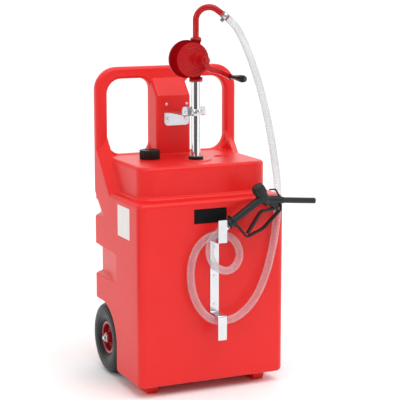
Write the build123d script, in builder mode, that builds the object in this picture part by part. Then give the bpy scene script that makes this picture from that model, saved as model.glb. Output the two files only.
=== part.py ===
from build123d import *
import os
from math import cos, radians, sin, sqrt, tan

os.makedirs("parts", exist_ok=True)

# Fuel caddy: a moulded tank on two wheels and two feet, with a rotary hand pump, a hose and a nozzle.
# Millimetres, +Z up. X runs to the right as the front is seen, and the front faces -Y.
# The origin lies on the ground under the middle of the caddy.

# Fits and clearances
slide_gap = 0.1
seat_gap = 0.3
shaft_gap = 0.06
press_gap = 0.02
cut_overrun = 10.0
weld = 6.0

# Tank: overall sizes
tank_width = 545.0
tank_depth = 435.0
shoulder_height = 674.0
deck_rise = 111.0
handle_rise = 315.0
ground_gap = 38.0
wall = 5.0

# Tank: body
front_corner_radius = 26.0
rear_corner_radius = 18.0
shoulder_radius = 17.0
bottom_radius = 13.0
deck_side_inset = 34.0
deck_front_inset = 62.0
deck_corner_radius = 52.0
deck_edge_radius = 13.0
bead_width = 9.0
bead_height = 7.0
bead_radius = 3.0

# Tank: handle frame, centre column and side webs
handle_thickness = 42.0
handle_bar = 42.5
handle_edge_radius = 14.0
handle_corner_radius = 82.0
window_sill = 4.0
window_outer_radius = 54.0
window_inner_radius = 40.0
column_half_width = 66.0
column_depth = 97.0
column_front_height = 212.0
column_edge_radius = 11.0
column_slant_share = 0.1
web_ridge_front = 281.0
web_ridge_drop = 9.0
web_ridge_rise = 42.0
web_crease_front = 246.0
web_crease_lift = 10.0
web_crease_rise = 88.0
pip_radius = 5.0
pip_height = 2.0
pip_spacing = 78.0
pip_above_shelf = 26.0

# Tank: hand holds moulded into the rear of both sides
upper_hold_shares = (0.994, 0.868, 0.858, 0.842)
upper_hold_depth = 26.0
upper_hold_reach = 96.0
lower_hold_shares = (0.697, 0.685, 0.542, 0.530)
lower_hold_depth = 30.0
lower_hold_reach = 217.0

# Tank: feet
foot_width = 41.0
foot_length = 90.0
foot_side_inset = 48.0
foot_setback = 60.0
foot_flare = 6.0
foot_corner = 6.0

# Wheels
wheel_radius = 130.0
axle_setback = 362.0
wheel_gap = 10.0
wheel_inset = 46.5
tyre_width = 80.0
tread_half_width = 33.0
tread_shoulder = 11.0
sidewall_height = 38.0
sidewall_root = 4.0
bead_bulge = 6.0
tyre_wall = 8.0
groove_width = 4.0
groove_depth = 4.0
groove_spacing = 15.0
rim_radius = 59.0
rim_seat_radius = 52.0
rim_width = 54.0
rim_sheet = 3.0
rim_dish_radius = 6.0
rim_edge_radius = 1.3
hub_wall = 3.0
hub_length = 66.0
bearing_radius = 16.0
bearing_width = 11.0
shield_depth = 1.0
shield_land = 2.0
rim_bolt_radius = 4.0
rim_bolt_head = 6.5
rim_bolt_head_height = 4.0
rim_bolt_circle_radius = 29.0
rim_bolt_count = 4

# Axle
axle_radius = 8.0
axle_end = 7.0
axle_chamfer = 1.5
tunnel_wall = 7.0
washer_radius = 14.0
washer_thickness = 2.5
spacer_radius = 12.0
axle_pin_radius = 2.0
axle_pin_length = 26.0

# Filler neck and cap
filler_x = -122.0
filler_setback = 270.0
neck_radius = 30.5
neck_bore = 26.0
neck_height = 23.0
cap_radius = 36.5
cap_foot_gap = 2.0
cap_top = 8.0
cap_edge_radius = 2.0
cap_dish_radius = 23.0
cap_dish_depth = 4.0
cap_bar_width = 9.0
cap_rib_count = 22
cap_rib_radius = 2.4
cap_rib_height = 1.2
thread_gap = 0.4
cap_gasket_height = 2.0

# Pump port, bung and blank port
port_x = 14.0
port_setback = 178.0
port_boss_radius = 52.0
port_boss_height = 4.0
port_boss_edge = 2.0
port_bore = 22.5
port_depth = 24.0
bung_flange_radius = 26.0
bung_flange_height = 9.0
bung_edge_radius = 1.5
bung_gasket_height = 1.5
bung_screw_radius = 3.0
bung_screw_head = 4.2
bung_screw_head_height = 5.0
blank_x = 143.0
blank_setback = 230.0
blank_radius = 31.0
blank_depth = 5.0

# Suction tube
tube_radius = 16.0
tube_wall = 1.5
lower_tube_wall = 1.5
tube_joint_height = 420.0
tube_overlap = 80.0
tube_foot_height = 62.0
strainer_radius = 19.0
strainer_wall = 1.5
strainer_height = 34.0
strainer_drop = 12.0
strainer_slot_width = 4.0
strainer_slot_height = 18.0
strainer_slot_pairs = 6

# Tube bracket and strap
shelf_rise = 156.0
bracket_x = 10.0
bracket_sheet = 3.0
bracket_width = 96.0
bracket_plate_height = 50.0
bracket_bend_radius = 4.0
bracket_corner = 14.0
bracket_tab_width = 88.0
bracket_tab_height = 30.0
bracket_tab_corner = 8.0
bracket_screw_radius = 3.0
bracket_screw_head = 5.5
bracket_screw_head_height = 3.0
bracket_screw_edge = 14.0
strap_thickness = 2.0
strap_height = 23.0
strap_ear_length = 26.0
strap_bolt_radius = 3.0
strap_bolt_head = 5.0
strap_bolt_head_height = 4.0
strap_nut_height = 5.0

# Pump casing and cover
pump_rise = 195.0
casing_offset = 23.0
casing_radius = 60.5
casing_front_setback = 150.0
casing_length = 48.0
casing_wall = 6.0
casing_edge_radius = 4.0
casing_bore = 52.0
rim_flange_radius = 65.5
rim_flange_thickness = 7.0
rim_flange_edge = 1.0
cover_thickness = 7.0
cover_gasket_thickness = 1.0
cover_bolt_radius = 2.5
cover_bolt_head = 4.5
cover_bolt_head_height = 3.5
cover_bolt_count = 6
cover_bolt_edge = 6.0
hub_step_radius = 27.0
hub_step_length = 9.0
hub_step_edge = 2.5
hub_nose_radius = 19.5
hub_nose_length = 12.0
boss_radius = 16.0
pump_port_bore = 10.0
inlet_flange_length = 50.0
inlet_flange_width = 35.0
inlet_flange_thickness = 7.0
inlet_flange_drop = 69.0
outlet_flange_length = 41.0
outlet_flange_width = 29.0
outlet_flange_thickness = 6.0
outlet_flange_rise = 60.0
flange_gasket_thickness = 1.0
flange_bolt_radius = 2.5
flange_bolt_head = 4.0
flange_bolt_head_height = 3.5
flange_bolt_edge = 4.6
flange_bolt_short = 1.0

# Rotor, vanes, shaft and gland
rotor_running_gap = 0.4
vane_thickness = 5.0
vane_depth = 17.0
vane_count = 4
shaft_radius = 8.0
shaft_rear_seat = 4.0
bush_radius = 11.0
bush_length = 12.0
packing_length = 6.0
gland_nut_radius = 16.5
gland_nut_length = 10.0

# Crank
crank_thickness = 12.0
crank_hub_radius = 15.5
crank_hub_length = 24.0
crank_hub_gap = 1.0
crank_width = 18.0
crank_edge_radius = 2.5
crank_reach = 97.0
crank_drop = 58.0
crank_bend_shares = ((0.16, 0.50), (0.60, 0.70))
crank_bend_radii = (16.0, 42.0)
crank_eye_radius = 10.5
crank_nut_radius = 9.5
crank_nut_length = 7.0
shaft_end = 2.0
crank_pin_radius = 4.0
crank_pin_head = 6.0
crank_pin_head_height = 4.0
grip_length = 104.0
grip_neck_radius = 7.5
grip_end_radius = 9.5
grip_profile_shares = ((0.10, 0.58), (0.45, 0.78), (0.76, 1.0), (0.93, 0.92))
grip_belly_radius = 13.0

# Outlet spout
spout_radius = 10.8
spout_wall = 2.0
spout_yaw = 24.5
spout_rise = 66.0
spout_bend_radius = 45.0
spout_bend_angle = 127.0
spout_tip_length = 49.0

# Hose and its clamps
hose_radius = 13.4
hose_bore = 11.0
hose_overlap = 28.0
hose_exit_run = 23.0
hose_entry_run = 38.0
hose_corner_share = 0.45
clamp_band_width = 12.0
clamp_band_thickness = 1.2
clamp_box_width = 13.0
clamp_box_length = 16.0
clamp_box_height = 9.0
clamp_screw_radius = 3.0
clamp_screw_length = 26.0
clamp_inset = 8.0

# Hose cleat on the front of the tank
cleat_width = 32.0
cleat_sheet = 3.0
cleat_bend_radius = 4.0
cleat_reach = 68.0
cleat_shelf_height = 537.0
cleat_span = 256.0
cleat_plate_height = 78.0
cleat_tail_height = 84.0
cleat_corner = 4.0
cleat_x = 2.0
cleat_screw_radius = 3.0
cleat_screw_head = 5.5
cleat_screw_head_height = 2.5
cleat_screw_edge = 30.0

# Nozzle: drawn in a plane of its own, u along the grip and v across it
nozzle_x = 40.0
nozzle_setback = -44.0
nozzle_z = 597.0
grip_angle = 33.0
swivel_start = -8.0
swivel_radius = 17.5
swivel_length = 22.0
collar_radius = 24.0
collar_length = 5.0
swivel_edge = 1.5
barb_radius = 10.8
tail_bore = 8.0
tail_length = 30.0
grip_width = 24.0
grip_end_width = 21.0
grip_thickness = 27.0
grip_edge_radius = 8.0
valve_u = 149.0
valve_radius = 18.5
valve_top = 12.0
valve_neck_top = -12.0
valve_bottom = -32.0
valve_neck_radius = 10.0
valve_chamber = 13.0
valve_seat = -8.0
valve_seat_bore = 7.5
valve_well_floor = -25.0
channel_radius = 6.5
valve_cap_radius = 23.0
valve_cap_height = 37.0
valve_cap_wall = 4.0
valve_cap_edge = 3.0
valve_cap_spigot = 7.0
outlet_angle = 37.9
outlet_cross = -12.3
socket_radius = 14.5
socket_length = 62.0
nozzle_spout_radius = 10.3
nozzle_spout_bore = 8.0
nozzle_spout_length = 152.0
nozzle_spout_seat = 20.0
nozzle_ring_radius = 11.8
nozzle_ring_length = 8.0
lug_u = 171.0
lug_v = -64.0
lug_radius = 7.0
lug_cheek = 4.0
lug_root_u = 160.0
lug_root_v = -26.0
lug_root_radius = 12.0
lever_pin_radius = 3.0
lever_pin_head = 5.0
lever_pin_head_height = 2.0
lever_eye_radius = 6.5
lever_width = 14.0
lever_thickness = 8.0
lever_points_uv = ((119.0, -38.0), (104.0, -41.0))
lever_end_u = 33.0
lever_end_v = -70.0
lever_bend_radii = (20.0, 12.0)
poppet_radius = 10.5
poppet_height = 5.0
stem_radius = 3.0
valve_lift = 8.2
spring_radius = 7.5
spring_wire = 1.4
spring_turns = 4
guard_thickness = 6.0
guard_width = 18.0
guard_start_u = 17.0
guard_start_v = -13.0
guard_points_uv = ((24.0, -79.0), (90.0, -92.0), (150.0, -81.0), (178.0, -76.0))
guard_radii = (9.0, 70.0, 60.0, 8.0)
guard_end_u = 187.5
guard_end_v = -60.5
hook_radius = 2.3
hook_start_u = 200.3
hook_start_v = -36.0
hook_points_uv = ((201.0, -6.0),)
hook_end_u = 182.0
hook_end_v = 7.0
hook_bend_radius = 8.0

# Places worked out from the sizes above
half_width = tank_width / 2
deck_height = shoulder_height + deck_rise
overall_height = deck_height + handle_rise
shelf_height = deck_height + shelf_rise
pump_height = shelf_height + pump_rise
inlet_flange_bottom = pump_height - inlet_flange_drop
outlet_flange_bottom = pump_height + outlet_flange_rise
wheel_plane = half_width - wheel_inset
front_y = (cleat_reach - axle_setback - wheel_radius) / 2
back_y = front_y + tank_depth
axle_y = front_y + axle_setback
deck_half_width = half_width - deck_side_inset
deck_front_y = front_y + deck_front_inset
deck_root = shoulder_height - handle_thickness
handle_mid_y = back_y - handle_thickness / 2
handle_front_y = back_y - handle_thickness
column_front_y = back_y - column_depth
well_radius = wheel_radius + wheel_gap
well_half_width = wheel_plane - tyre_width / 2 - wheel_gap
filler_y = front_y + filler_setback
port_y = front_y + port_setback
blank_y = front_y + blank_setback
casing_x = port_x - casing_offset
casing_front_y = front_y + casing_front_setback
casing_back_y = casing_front_y + casing_length + rim_flange_thickness
cover_front_y = casing_back_y + cover_gasket_thickness
cover_back_y = cover_front_y + cover_thickness
tube_flange_top = inlet_flange_bottom - flange_gasket_thickness
tube_flange_bottom = tube_flange_top - inlet_flange_thickness
spout_flange_bottom = outlet_flange_bottom + outlet_flange_thickness + flange_gasket_thickness
spout_flange_top = spout_flange_bottom + outlet_flange_thickness
tube_flange_stack = 2 * inlet_flange_thickness + flange_gasket_thickness - flange_bolt_short
spout_stack = 2 * outlet_flange_thickness + flange_gasket_thickness - flange_bolt_short
hub_nose_front_y = casing_front_y - hub_step_length - hub_nose_length
gland_front_y = hub_nose_front_y - gland_nut_length
crank_back_y = gland_front_y - crank_hub_gap
crank_front_y = crank_back_y - crank_hub_length
crank_mid_y = (crank_front_y + crank_back_y) / 2
crank_arm_front_y = crank_mid_y - crank_thickness / 2
crank_arm_back_y = crank_mid_y + crank_thickness / 2
crank_pin_x = port_x + crank_reach
crank_pin_z = pump_height - crank_drop
tab_front_y = port_y + tube_radius + slide_gap
bracket_spot_z = shelf_height - bracket_plate_height / 2
nozzle_y = front_y + nozzle_setback


def yz_plane(x):
    """A plane square to X, with its own x along +Y and its own y along +Z."""
    return Plane(origin=(x, 0, 0), x_dir=(0, 1, 0), z_dir=(1, 0, 0))


def xz_plane(y):
    """A plane that faces the front, with its own x along +X and its own y along +Z."""
    return Plane(origin=(0, y, 0), x_dir=(1, 0, 0), z_dir=(0, -1, 0))


def turned(plane, outline, rounding=None):
    """A solid turned about the plane's own x axis, from points given as (place along it, radius)."""
    with BuildPart() as piece:
        with BuildSketch(plane):
            with BuildLine():
                if rounding is None:
                    Polyline(*outline, close=True)
                else:
                    FilletPolyline(*outline, radius=rounding, close=True)
            make_face()
        revolve(axis=Axis(plane.origin, plane.x_dir))
    return piece.part


def along_y(x, z):
    """The plane whose own x axis is a line along +Y, at the given x and z."""
    return Plane(origin=(x, 0, z), x_dir=(0, 1, 0), z_dir=(1, 0, 0))


def along_z(x, y):
    """The plane whose own x axis is a line straight up, at the given x and y."""
    return Plane(origin=(x, y, 0), x_dir=(0, 0, 1), z_dir=(0, 1, 0))


def keep(piece, name):
    """Labels a finished piece and writes it under its name."""
    piece.label = name
    export_step(piece, f"parts/{name}.step")


# Wheel wells and hand holds, which are cut from the tank's form and from its walls alike

def wheel_wells(growth):
    """The spaces that the two wheels run in, open below and behind, each wider by the growth."""
    radius = well_radius + growth
    with BuildPart() as wells:
        with BuildSketch(yz_plane(well_half_width - growth)):
            with BuildLine():
                front = Line((axle_y - radius, 0), (axle_y - radius, wheel_radius))
                crown = JernArc(front @ 1, (0, 1), radius, -90)
                Polyline(
                    crown @ 1,
                    (back_y + cut_overrun, wheel_radius + radius),
                    (back_y + cut_overrun, 0),
                    front @ 0,
                )
            make_face()
        extrude(amount=half_width - well_half_width + growth + cut_overrun)
        mirror(about=Plane.YZ)
    return wells.part


def hand_hold(height_shares, depth, reach, growth):
    """One pair of hollows in the sides, deepest at the rear and fading out towards the front."""
    top, inner_top, inner_bottom, bottom = (share * shoulder_height for share in height_shares)
    outside = half_width + depth + cut_overrun
    bed = half_width - depth - growth
    with BuildPart() as holds:
        with BuildSketch(xz_plane(back_y + growth)):
            with BuildLine():
                Polyline(
                    (half_width, top + growth),
                    (bed, inner_top + growth),
                    (bed, inner_bottom - growth),
                    (half_width, bottom - growth),
                    (outside, bottom - growth),
                    (outside, top + growth),
                    close=True,
                )
            make_face()
        extrude(amount=sqrt(depth**2 + reach**2), dir=Vector(depth, -reach, 0).normalized())
        mirror(about=Plane.YZ)
    return holds.part


# Tank: its outer form, which is also used drawn in by the wall for the space inside

def tank_form(inset):
    """The moulded form of body, deck, handle frame and column, drawn in by the inset all round."""
    with BuildPart() as lower:
        with BuildSketch(Plane.XY.offset(ground_gap + inset)) as lower_plan:
            with Locations((0, (front_y + back_y) / 2)):
                Rectangle(tank_width - 2 * inset, tank_depth - 2 * inset)
            fillet(lower_plan.vertices().group_by(Axis.Y)[0], front_corner_radius - inset)
            fillet(lower_plan.vertices().group_by(Axis.Y)[-1], rear_corner_radius - inset)
        extrude(amount=shoulder_height - ground_gap - 2 * inset)
        fillet(lower.faces().sort_by(Axis.Z)[-1].edges(), shoulder_radius - inset)
        fillet(lower.faces().sort_by(Axis.Z)[0].edges(), bottom_radius - inset)

    with BuildPart() as deck:
        with BuildSketch(Plane.XY.offset(deck_root)) as deck_plan:
            with Locations((0, (deck_front_y + back_y) / 2)):
                Rectangle(2 * (deck_half_width - inset), back_y - deck_front_y - 2 * inset)
            fillet(deck_plan.vertices().group_by(Axis.Y)[0], deck_corner_radius - inset)
        extrude(amount=deck_height - inset - deck_root)
        fillet(deck.faces().sort_by(Axis.Z)[-1].edges(), deck_edge_radius - inset)

    frame_top = overall_height - inset
    window_outer_x = half_width - handle_bar
    window_top = overall_height - handle_bar
    window_bottom = deck_height + window_sill
    with BuildPart() as frame:
        with BuildSketch(xz_plane(back_y - inset)) as frame_outline:
            with Locations((0, (deck_root + frame_top) / 2)):
                Rectangle(tank_width - 2 * inset, frame_top - deck_root)
            fillet(frame_outline.vertices().group_by(Axis.Y)[-1], handle_corner_radius - inset)
        extrude(amount=handle_thickness - 2 * inset)
        with BuildSketch(xz_plane(back_y)) as window:
            with Locations(((column_half_width + window_outer_x) / 2, (window_bottom + window_top) / 2)):
                Rectangle(
                    window_outer_x - column_half_width + 2 * inset,
                    window_top - window_bottom + 2 * inset,
                )
            fillet(window.vertices().group_by(Axis.X)[0], window_inner_radius + inset)
            fillet(window.vertices().group_by(Axis.X)[-1], window_outer_radius + inset)
            mirror(about=Plane.YZ)
        extrude(amount=handle_thickness, mode=Mode.SUBTRACT)
        rims = frame.faces().filter_by(Axis.Y).edges()
        rims = rims.filter_by_position(Axis.Z, deck_root + weld, overall_height)
        fillet(rims, handle_edge_radius - inset)

    with BuildPart() as column:
        with BuildSketch(yz_plane(0)):
            with BuildLine():
                Polyline(
                    (column_front_y + inset, deck_height - handle_thickness),
                    (column_front_y + inset, deck_height + column_front_height - inset / 2),
                    (handle_front_y + inset, window_top - inset / 2),
                    (handle_mid_y, window_top - inset / 2),
                    (handle_mid_y, deck_height - handle_thickness),
                    close=True,
                )
            make_face()
        extrude(amount=column_half_width - inset, both=True)
        uprights = column.edges().filter_by(Axis.Z).group_by(Axis.Y)[0]
        slopes = column.edges().filter_by(
            lambda edge: min(abs((edge % 0).Y), abs((edge % 0).Z)) > column_slant_share
        )
        fillet(uprights + slopes, column_edge_radius - inset)

    with BuildPart() as form:
        add(lower.part)
        add(deck.part)
        add(frame.part)
        add(column.part)
        add(wheel_wells(inset), mode=Mode.SUBTRACT)
        add(hand_hold(upper_hold_shares, upper_hold_depth, upper_hold_reach, inset), mode=Mode.SUBTRACT)
        add(hand_hold(lower_hold_shares, lower_hold_depth, lower_hold_reach, inset), mode=Mode.SUBTRACT)
    return form.part


# Tank: webs that flare from the deck's sides out to the handle frame
with BuildPart() as webs:
    with BuildSketch(yz_plane(half_width)):
        with BuildLine():
            Polyline(
                (handle_mid_y, deck_root),
                (handle_mid_y, deck_height + web_ridge_rise),
                (front_y + web_ridge_front, shoulder_height - web_ridge_drop),
                (front_y + web_ridge_front, deck_root),
                close=True,
            )
        make_face()
    with BuildSketch(yz_plane(deck_half_width - weld)):
        with BuildLine():
            Polyline(
                (handle_mid_y, deck_root),
                (handle_mid_y, deck_height + web_crease_rise),
                (front_y + web_crease_front, shoulder_height + web_crease_lift),
                (front_y + web_crease_front, deck_root),
                close=True,
            )
        make_face()
    loft(ruled=True)
    mirror(about=Plane.YZ)

# Tank: feet under the front
foot_x = half_width - foot_side_inset - foot_width / 2
foot_y = front_y + foot_setback + foot_length / 2
with BuildPart() as feet:
    with BuildSketch(Plane.XY):
        with Locations((foot_x, foot_y)):
            RectangleRounded(foot_width, foot_length, foot_corner)
    with BuildSketch(Plane.XY.offset(ground_gap + bottom_radius)):
        with Locations((foot_x, foot_y)):
            RectangleRounded(foot_width + 2 * foot_flare, foot_length + 2 * foot_flare, foot_corner)
    loft()
    mirror(about=Plane.YZ)

# Tank: bead round the foot of the deck
with BuildPart() as bead:
    with BuildSketch(Plane.XY.offset(shoulder_height - bottom_radius)) as bead_plan:
        with Locations((0, (deck_front_y - bead_width + handle_mid_y) / 2)):
            Rectangle(2 * (deck_half_width + bead_width), handle_mid_y - deck_front_y + bead_width)
        fillet(bead_plan.vertices().group_by(Axis.Y)[0], deck_corner_radius + bead_width)
    extrude(amount=bead_height + bottom_radius)
    fillet(bead.faces().sort_by(Axis.Z)[-1].edges(), bead_radius)

# Tank: the fuel space, with a tunnel left across it for the axle
tunnel_radius = axle_radius + shaft_gap + tunnel_wall
with BuildPart() as fuel_space:
    add(tank_form(wall))
    with BuildSketch(yz_plane(-half_width)):
        with Locations((axle_y, wheel_radius)):
            Circle(tunnel_radius)
    extrude(amount=tank_width, mode=Mode.SUBTRACT)

# Tank: the moulding, with its neck, ports, pips and screw holes
bracket_screw_x = bracket_width / 2 - bracket_screw_edge
cleat_screw_z = (
    cleat_shelf_height - cleat_screw_edge,
    cleat_shelf_height - cleat_span / 2,
    cleat_shelf_height - cleat_span + cleat_screw_edge,
)
filler_line = along_z(filler_x, filler_y)
tube_line = along_z(port_x, port_y)
port_seat = deck_height + port_boss_height
with BuildPart() as tank_shell:
    add(tank_form(0))
    add(bead.part)
    add(webs.part)
    add(feet.part)
    add(fuel_space.part, mode=Mode.SUBTRACT)
    with BuildSketch(xz_plane(column_front_y + wall / 2)):
        for pip_side in (-1, 1):
            with Locations((bracket_x + pip_side * pip_spacing / 2, shelf_height + pip_above_shelf)):
                Circle(pip_radius)
    extrude(amount=wall / 2 + pip_height)
    with BuildSketch(Plane.XY.offset(deck_height - blank_depth - wall)):
        with Locations((blank_x, blank_y)):
            Circle(blank_radius + wall)
    extrude(amount=blank_depth + wall)
    with BuildSketch(Plane.XY.offset(deck_height - blank_depth)):
        with Locations((blank_x, blank_y)):
            Circle(blank_radius)
    extrude(amount=blank_depth + cut_overrun, mode=Mode.SUBTRACT)
    add(turned(filler_line, (
        (deck_height - wall, 0),
        (deck_height - wall, neck_radius),
        (deck_height + neck_height, neck_radius),
        (deck_height + neck_height, 0),
    )))
    add(turned(filler_line, (
        (deck_height - wall - cut_overrun, 0),
        (deck_height - wall - cut_overrun, neck_bore),
        (deck_height + neck_height + cut_overrun, neck_bore),
        (deck_height + neck_height + cut_overrun, 0),
    )), mode=Mode.SUBTRACT)
    add(turned(tube_line, (
        (port_seat - port_depth, 0),
        (port_seat - port_depth, port_bore + wall),
        (deck_height, port_bore + wall),
        (deck_height, port_boss_radius),
        (port_seat, port_boss_radius),
        (port_seat, 0),
    ), rounding=(0, 0, 0, 0, port_boss_edge, 0)))
    add(turned(tube_line, (
        (port_seat - port_depth - cut_overrun, 0),
        (port_seat - port_depth - cut_overrun, port_bore),
        (port_seat + cut_overrun, port_bore),
        (port_seat + cut_overrun, 0),
    )), mode=Mode.SUBTRACT)
    with BuildSketch(yz_plane(-half_width)):
        with Locations((axle_y, wheel_radius)):
            Circle(axle_radius + shaft_gap)
    extrude(amount=tank_width, mode=Mode.SUBTRACT)
    with BuildSketch(xz_plane(column_front_y + wall)):
        for screw_side in (-1, 1):
            with Locations((bracket_x + screw_side * bracket_screw_x, bracket_spot_z)):
                Circle(bracket_screw_radius)
    extrude(amount=wall + cut_overrun, mode=Mode.SUBTRACT)
    with BuildSketch(xz_plane(front_y + wall)):
        for screw_z in cleat_screw_z:
            with Locations((cleat_x, screw_z)):
                Circle(cleat_screw_radius)
    extrude(amount=wall + cut_overrun, mode=Mode.SUBTRACT)
keep(tank_shell.part, "tank_shell")

# Filler cap: a ribbed screw cap with a bar across its dished top
cap_bottom_z = deck_height + cap_foot_gap
cap_gasket_z = deck_height + neck_height
cap_ceiling_z = cap_gasket_z + cap_gasket_height
cap_top_z = cap_ceiling_z + cap_top
with BuildPart() as filler_cap:
    with BuildSketch(Plane.XY.offset(cap_bottom_z)):
        with Locations((filler_x, filler_y)):
            Circle(cap_radius - cap_rib_height)
    extrude(amount=cap_top_z - cap_bottom_z)
    fillet(filler_cap.faces().sort_by(Axis.Z)[-1].edges(), cap_edge_radius)
    with BuildSketch(Plane.XY.offset(cap_bottom_z)):
        with Locations((filler_x, filler_y)):
            with PolarLocations(cap_radius - cap_rib_radius, cap_rib_count):
                Circle(cap_rib_radius)
    extrude(amount=cap_top_z - cap_bottom_z - cap_edge_radius)
    with BuildSketch(Plane.XY.offset(cap_top_z - cap_dish_depth)):
        with Locations((filler_x, filler_y)):
            Circle(cap_dish_radius)
            Rectangle(2 * cap_dish_radius, cap_bar_width, mode=Mode.SUBTRACT)
    extrude(amount=cap_dish_depth + cut_overrun, mode=Mode.SUBTRACT)
    with BuildSketch(Plane.XY.offset(cap_bottom_z)):
        with Locations((filler_x, filler_y)):
            Circle(neck_radius + thread_gap)
    extrude(amount=cap_ceiling_z - cap_bottom_z, mode=Mode.SUBTRACT)
keep(filler_cap.part, "filler_cap")

with BuildPart() as cap_gasket:
    add(turned(filler_line, (
        (cap_gasket_z, neck_bore),
        (cap_gasket_z, neck_radius),
        (cap_ceiling_z, neck_radius),
        (cap_ceiling_z, neck_bore),
    )))
keep(cap_gasket.part, "cap_gasket")

# Bung that holds the suction tube in the tank's port, its gasket and its clamping screw
bung_seat = port_seat + bung_gasket_height
bung_top = bung_seat + bung_flange_height
bung_screw_z = bung_seat + bung_flange_height / 2
with BuildPart() as bung_gasket:
    add(turned(tube_line, (
        (port_seat, port_bore),
        (port_seat, bung_flange_radius),
        (bung_seat, bung_flange_radius),
        (bung_seat, port_bore),
    )))
keep(bung_gasket.part, "bung_gasket")

bung_screw_plane = xz_plane(port_y + bung_flange_radius + bung_screw_head_height)
with BuildPart() as bung_screw:
    with BuildSketch(bung_screw_plane):
        with Locations((port_x, bung_screw_z)):
            Circle(bung_screw_radius)
    extrude(amount=bung_screw_head_height + bung_flange_radius - tube_radius - seat_gap)
    with BuildSketch(bung_screw_plane):
        with Locations((port_x, bung_screw_z)):
            RegularPolygon(bung_screw_head, 6)
    extrude(amount=bung_screw_head_height)
keep(bung_screw.part, "bung_screw")

with BuildPart() as pump_bung:
    add(turned(tube_line, (
        (port_seat - port_depth, tube_radius + slide_gap),
        (port_seat - port_depth, port_bore - slide_gap),
        (bung_seat, port_bore - slide_gap),
        (bung_seat, bung_flange_radius),
        (bung_top, bung_flange_radius),
        (bung_top, tube_radius + slide_gap),
    ), rounding=(0, 0, 0, 0, bung_edge_radius, 0)))
    add(bung_screw.part, mode=Mode.SUBTRACT)
keep(pump_bung.part, "pump_bung")

# Suction tube in two lengths that slide in each other, and its strainer
lower_tube_radius = tube_radius - tube_wall - slide_gap
with BuildPart() as suction_tube_upper:
    add(turned(tube_line, (
        (tube_joint_height, tube_radius - tube_wall),
        (tube_joint_height, tube_radius),
        (tube_flange_top, tube_radius),
        (tube_flange_top, tube_radius - tube_wall),
    )))
keep(suction_tube_upper.part, "suction_tube_upper")

with BuildPart() as suction_tube_lower:
    add(turned(tube_line, (
        (tube_foot_height, lower_tube_radius - lower_tube_wall),
        (tube_foot_height, lower_tube_radius),
        (tube_joint_height + tube_overlap, lower_tube_radius),
        (tube_joint_height + tube_overlap, lower_tube_radius - lower_tube_wall),
    )))
keep(suction_tube_lower.part, "suction_tube_lower")

strainer_bottom = tube_foot_height - strainer_drop
strainer_top = strainer_bottom + strainer_height
with BuildPart() as suction_strainer:
    add(turned(tube_line, (
        (strainer_bottom, 0),
        (strainer_bottom, strainer_radius),
        (strainer_top, strainer_radius),
        (strainer_top, lower_tube_radius + slide_gap),
        (strainer_top - strainer_wall, lower_tube_radius + slide_gap),
        (strainer_top - strainer_wall, strainer_radius - strainer_wall),
        (strainer_bottom + strainer_wall, strainer_radius - strainer_wall),
        (strainer_bottom + strainer_wall, 0),
    )))
    with BuildSketch(Plane.XY.offset((strainer_bottom + strainer_top - strainer_slot_height) / 2)):
        with Locations((port_x, port_y)):
            with PolarLocations(0, strainer_slot_pairs, angular_range=180):
                Rectangle(2 * (strainer_radius + cut_overrun), strainer_slot_width)
    extrude(amount=strainer_slot_height, mode=Mode.SUBTRACT)
keep(suction_strainer.part, "suction_strainer")

# Bracket: one bent sheet from the column to the tube
with BuildPart() as tube_bracket:
    with BuildSketch(yz_plane(bracket_x)):
        with BuildLine() as bracket_bend:
            FilletPolyline(
                (column_front_y - bracket_sheet / 2, shelf_height - bracket_plate_height),
                (column_front_y - bracket_sheet / 2, shelf_height - bracket_sheet / 2),
                (tab_front_y + bracket_sheet / 2, shelf_height - bracket_sheet / 2),
                (tab_front_y + bracket_sheet / 2, shelf_height + bracket_tab_height),
                radius=bracket_bend_radius,
            )
        trace(line_width=bracket_sheet)
    extrude(amount=bracket_width, both=True)
    with BuildSketch(Plane.XY.offset(shelf_height - bracket_plate_height)):
        with BuildLine():
            Polyline(
                (bracket_x - bracket_width / 2, column_front_y),
                (bracket_x + bracket_width / 2, column_front_y),
                (port_x + bracket_tab_width / 2, tab_front_y),
                (port_x - bracket_tab_width / 2, tab_front_y),
                close=True,
            )
        make_face()
    extrude(amount=bracket_plate_height + bracket_tab_height, mode=Mode.INTERSECT)
    corners = tube_bracket.edges().filter_by(lambda edge: edge.length < bracket_sheet + slide_gap)
    fillet(corners.group_by(Axis.Z)[0], bracket_corner)
    corners = tube_bracket.edges().filter_by(lambda edge: edge.length < bracket_sheet + slide_gap)
    fillet(corners.group_by(Axis.Z)[-1], bracket_tab_corner)
    with BuildSketch(xz_plane(column_front_y)):
        for screw_side in (-1, 1):
            with Locations((bracket_x + screw_side * bracket_screw_x, bracket_spot_z)):
                Circle(bracket_screw_radius)
    extrude(amount=bracket_sheet, mode=Mode.SUBTRACT)
    with BuildSketch(xz_plane(tab_front_y + bracket_sheet)):
        for bolt_side in (-1, 1):
            bolt_x = port_x + bolt_side * (tube_radius + strap_thickness + strap_ear_length / 2)
            with Locations((bolt_x, shelf_height + strap_height / 2)):
                Circle(strap_bolt_radius)
    extrude(amount=bracket_sheet, mode=Mode.SUBTRACT)
keep(tube_bracket.part, "tube_bracket")

with BuildPart() as bracket_screws:
    with BuildSketch(xz_plane(column_front_y + wall)):
        for screw_side in (-1, 1):
            with Locations((bracket_x + screw_side * bracket_screw_x, bracket_spot_z)):
                Circle(bracket_screw_radius)
    extrude(amount=wall + bracket_sheet)
    with BuildSketch(xz_plane(column_front_y - bracket_sheet)):
        for screw_side in (-1, 1):
            with Locations((bracket_x + screw_side * bracket_screw_x, bracket_spot_z)):
                Circle(bracket_screw_head)
    extrude(amount=bracket_screw_head_height)
    fillet(bracket_screws.faces().group_by(Axis.Y)[0].edges(), bracket_screw_head_height / 2)
keep(bracket_screws.part, "bracket_screws")

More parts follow.
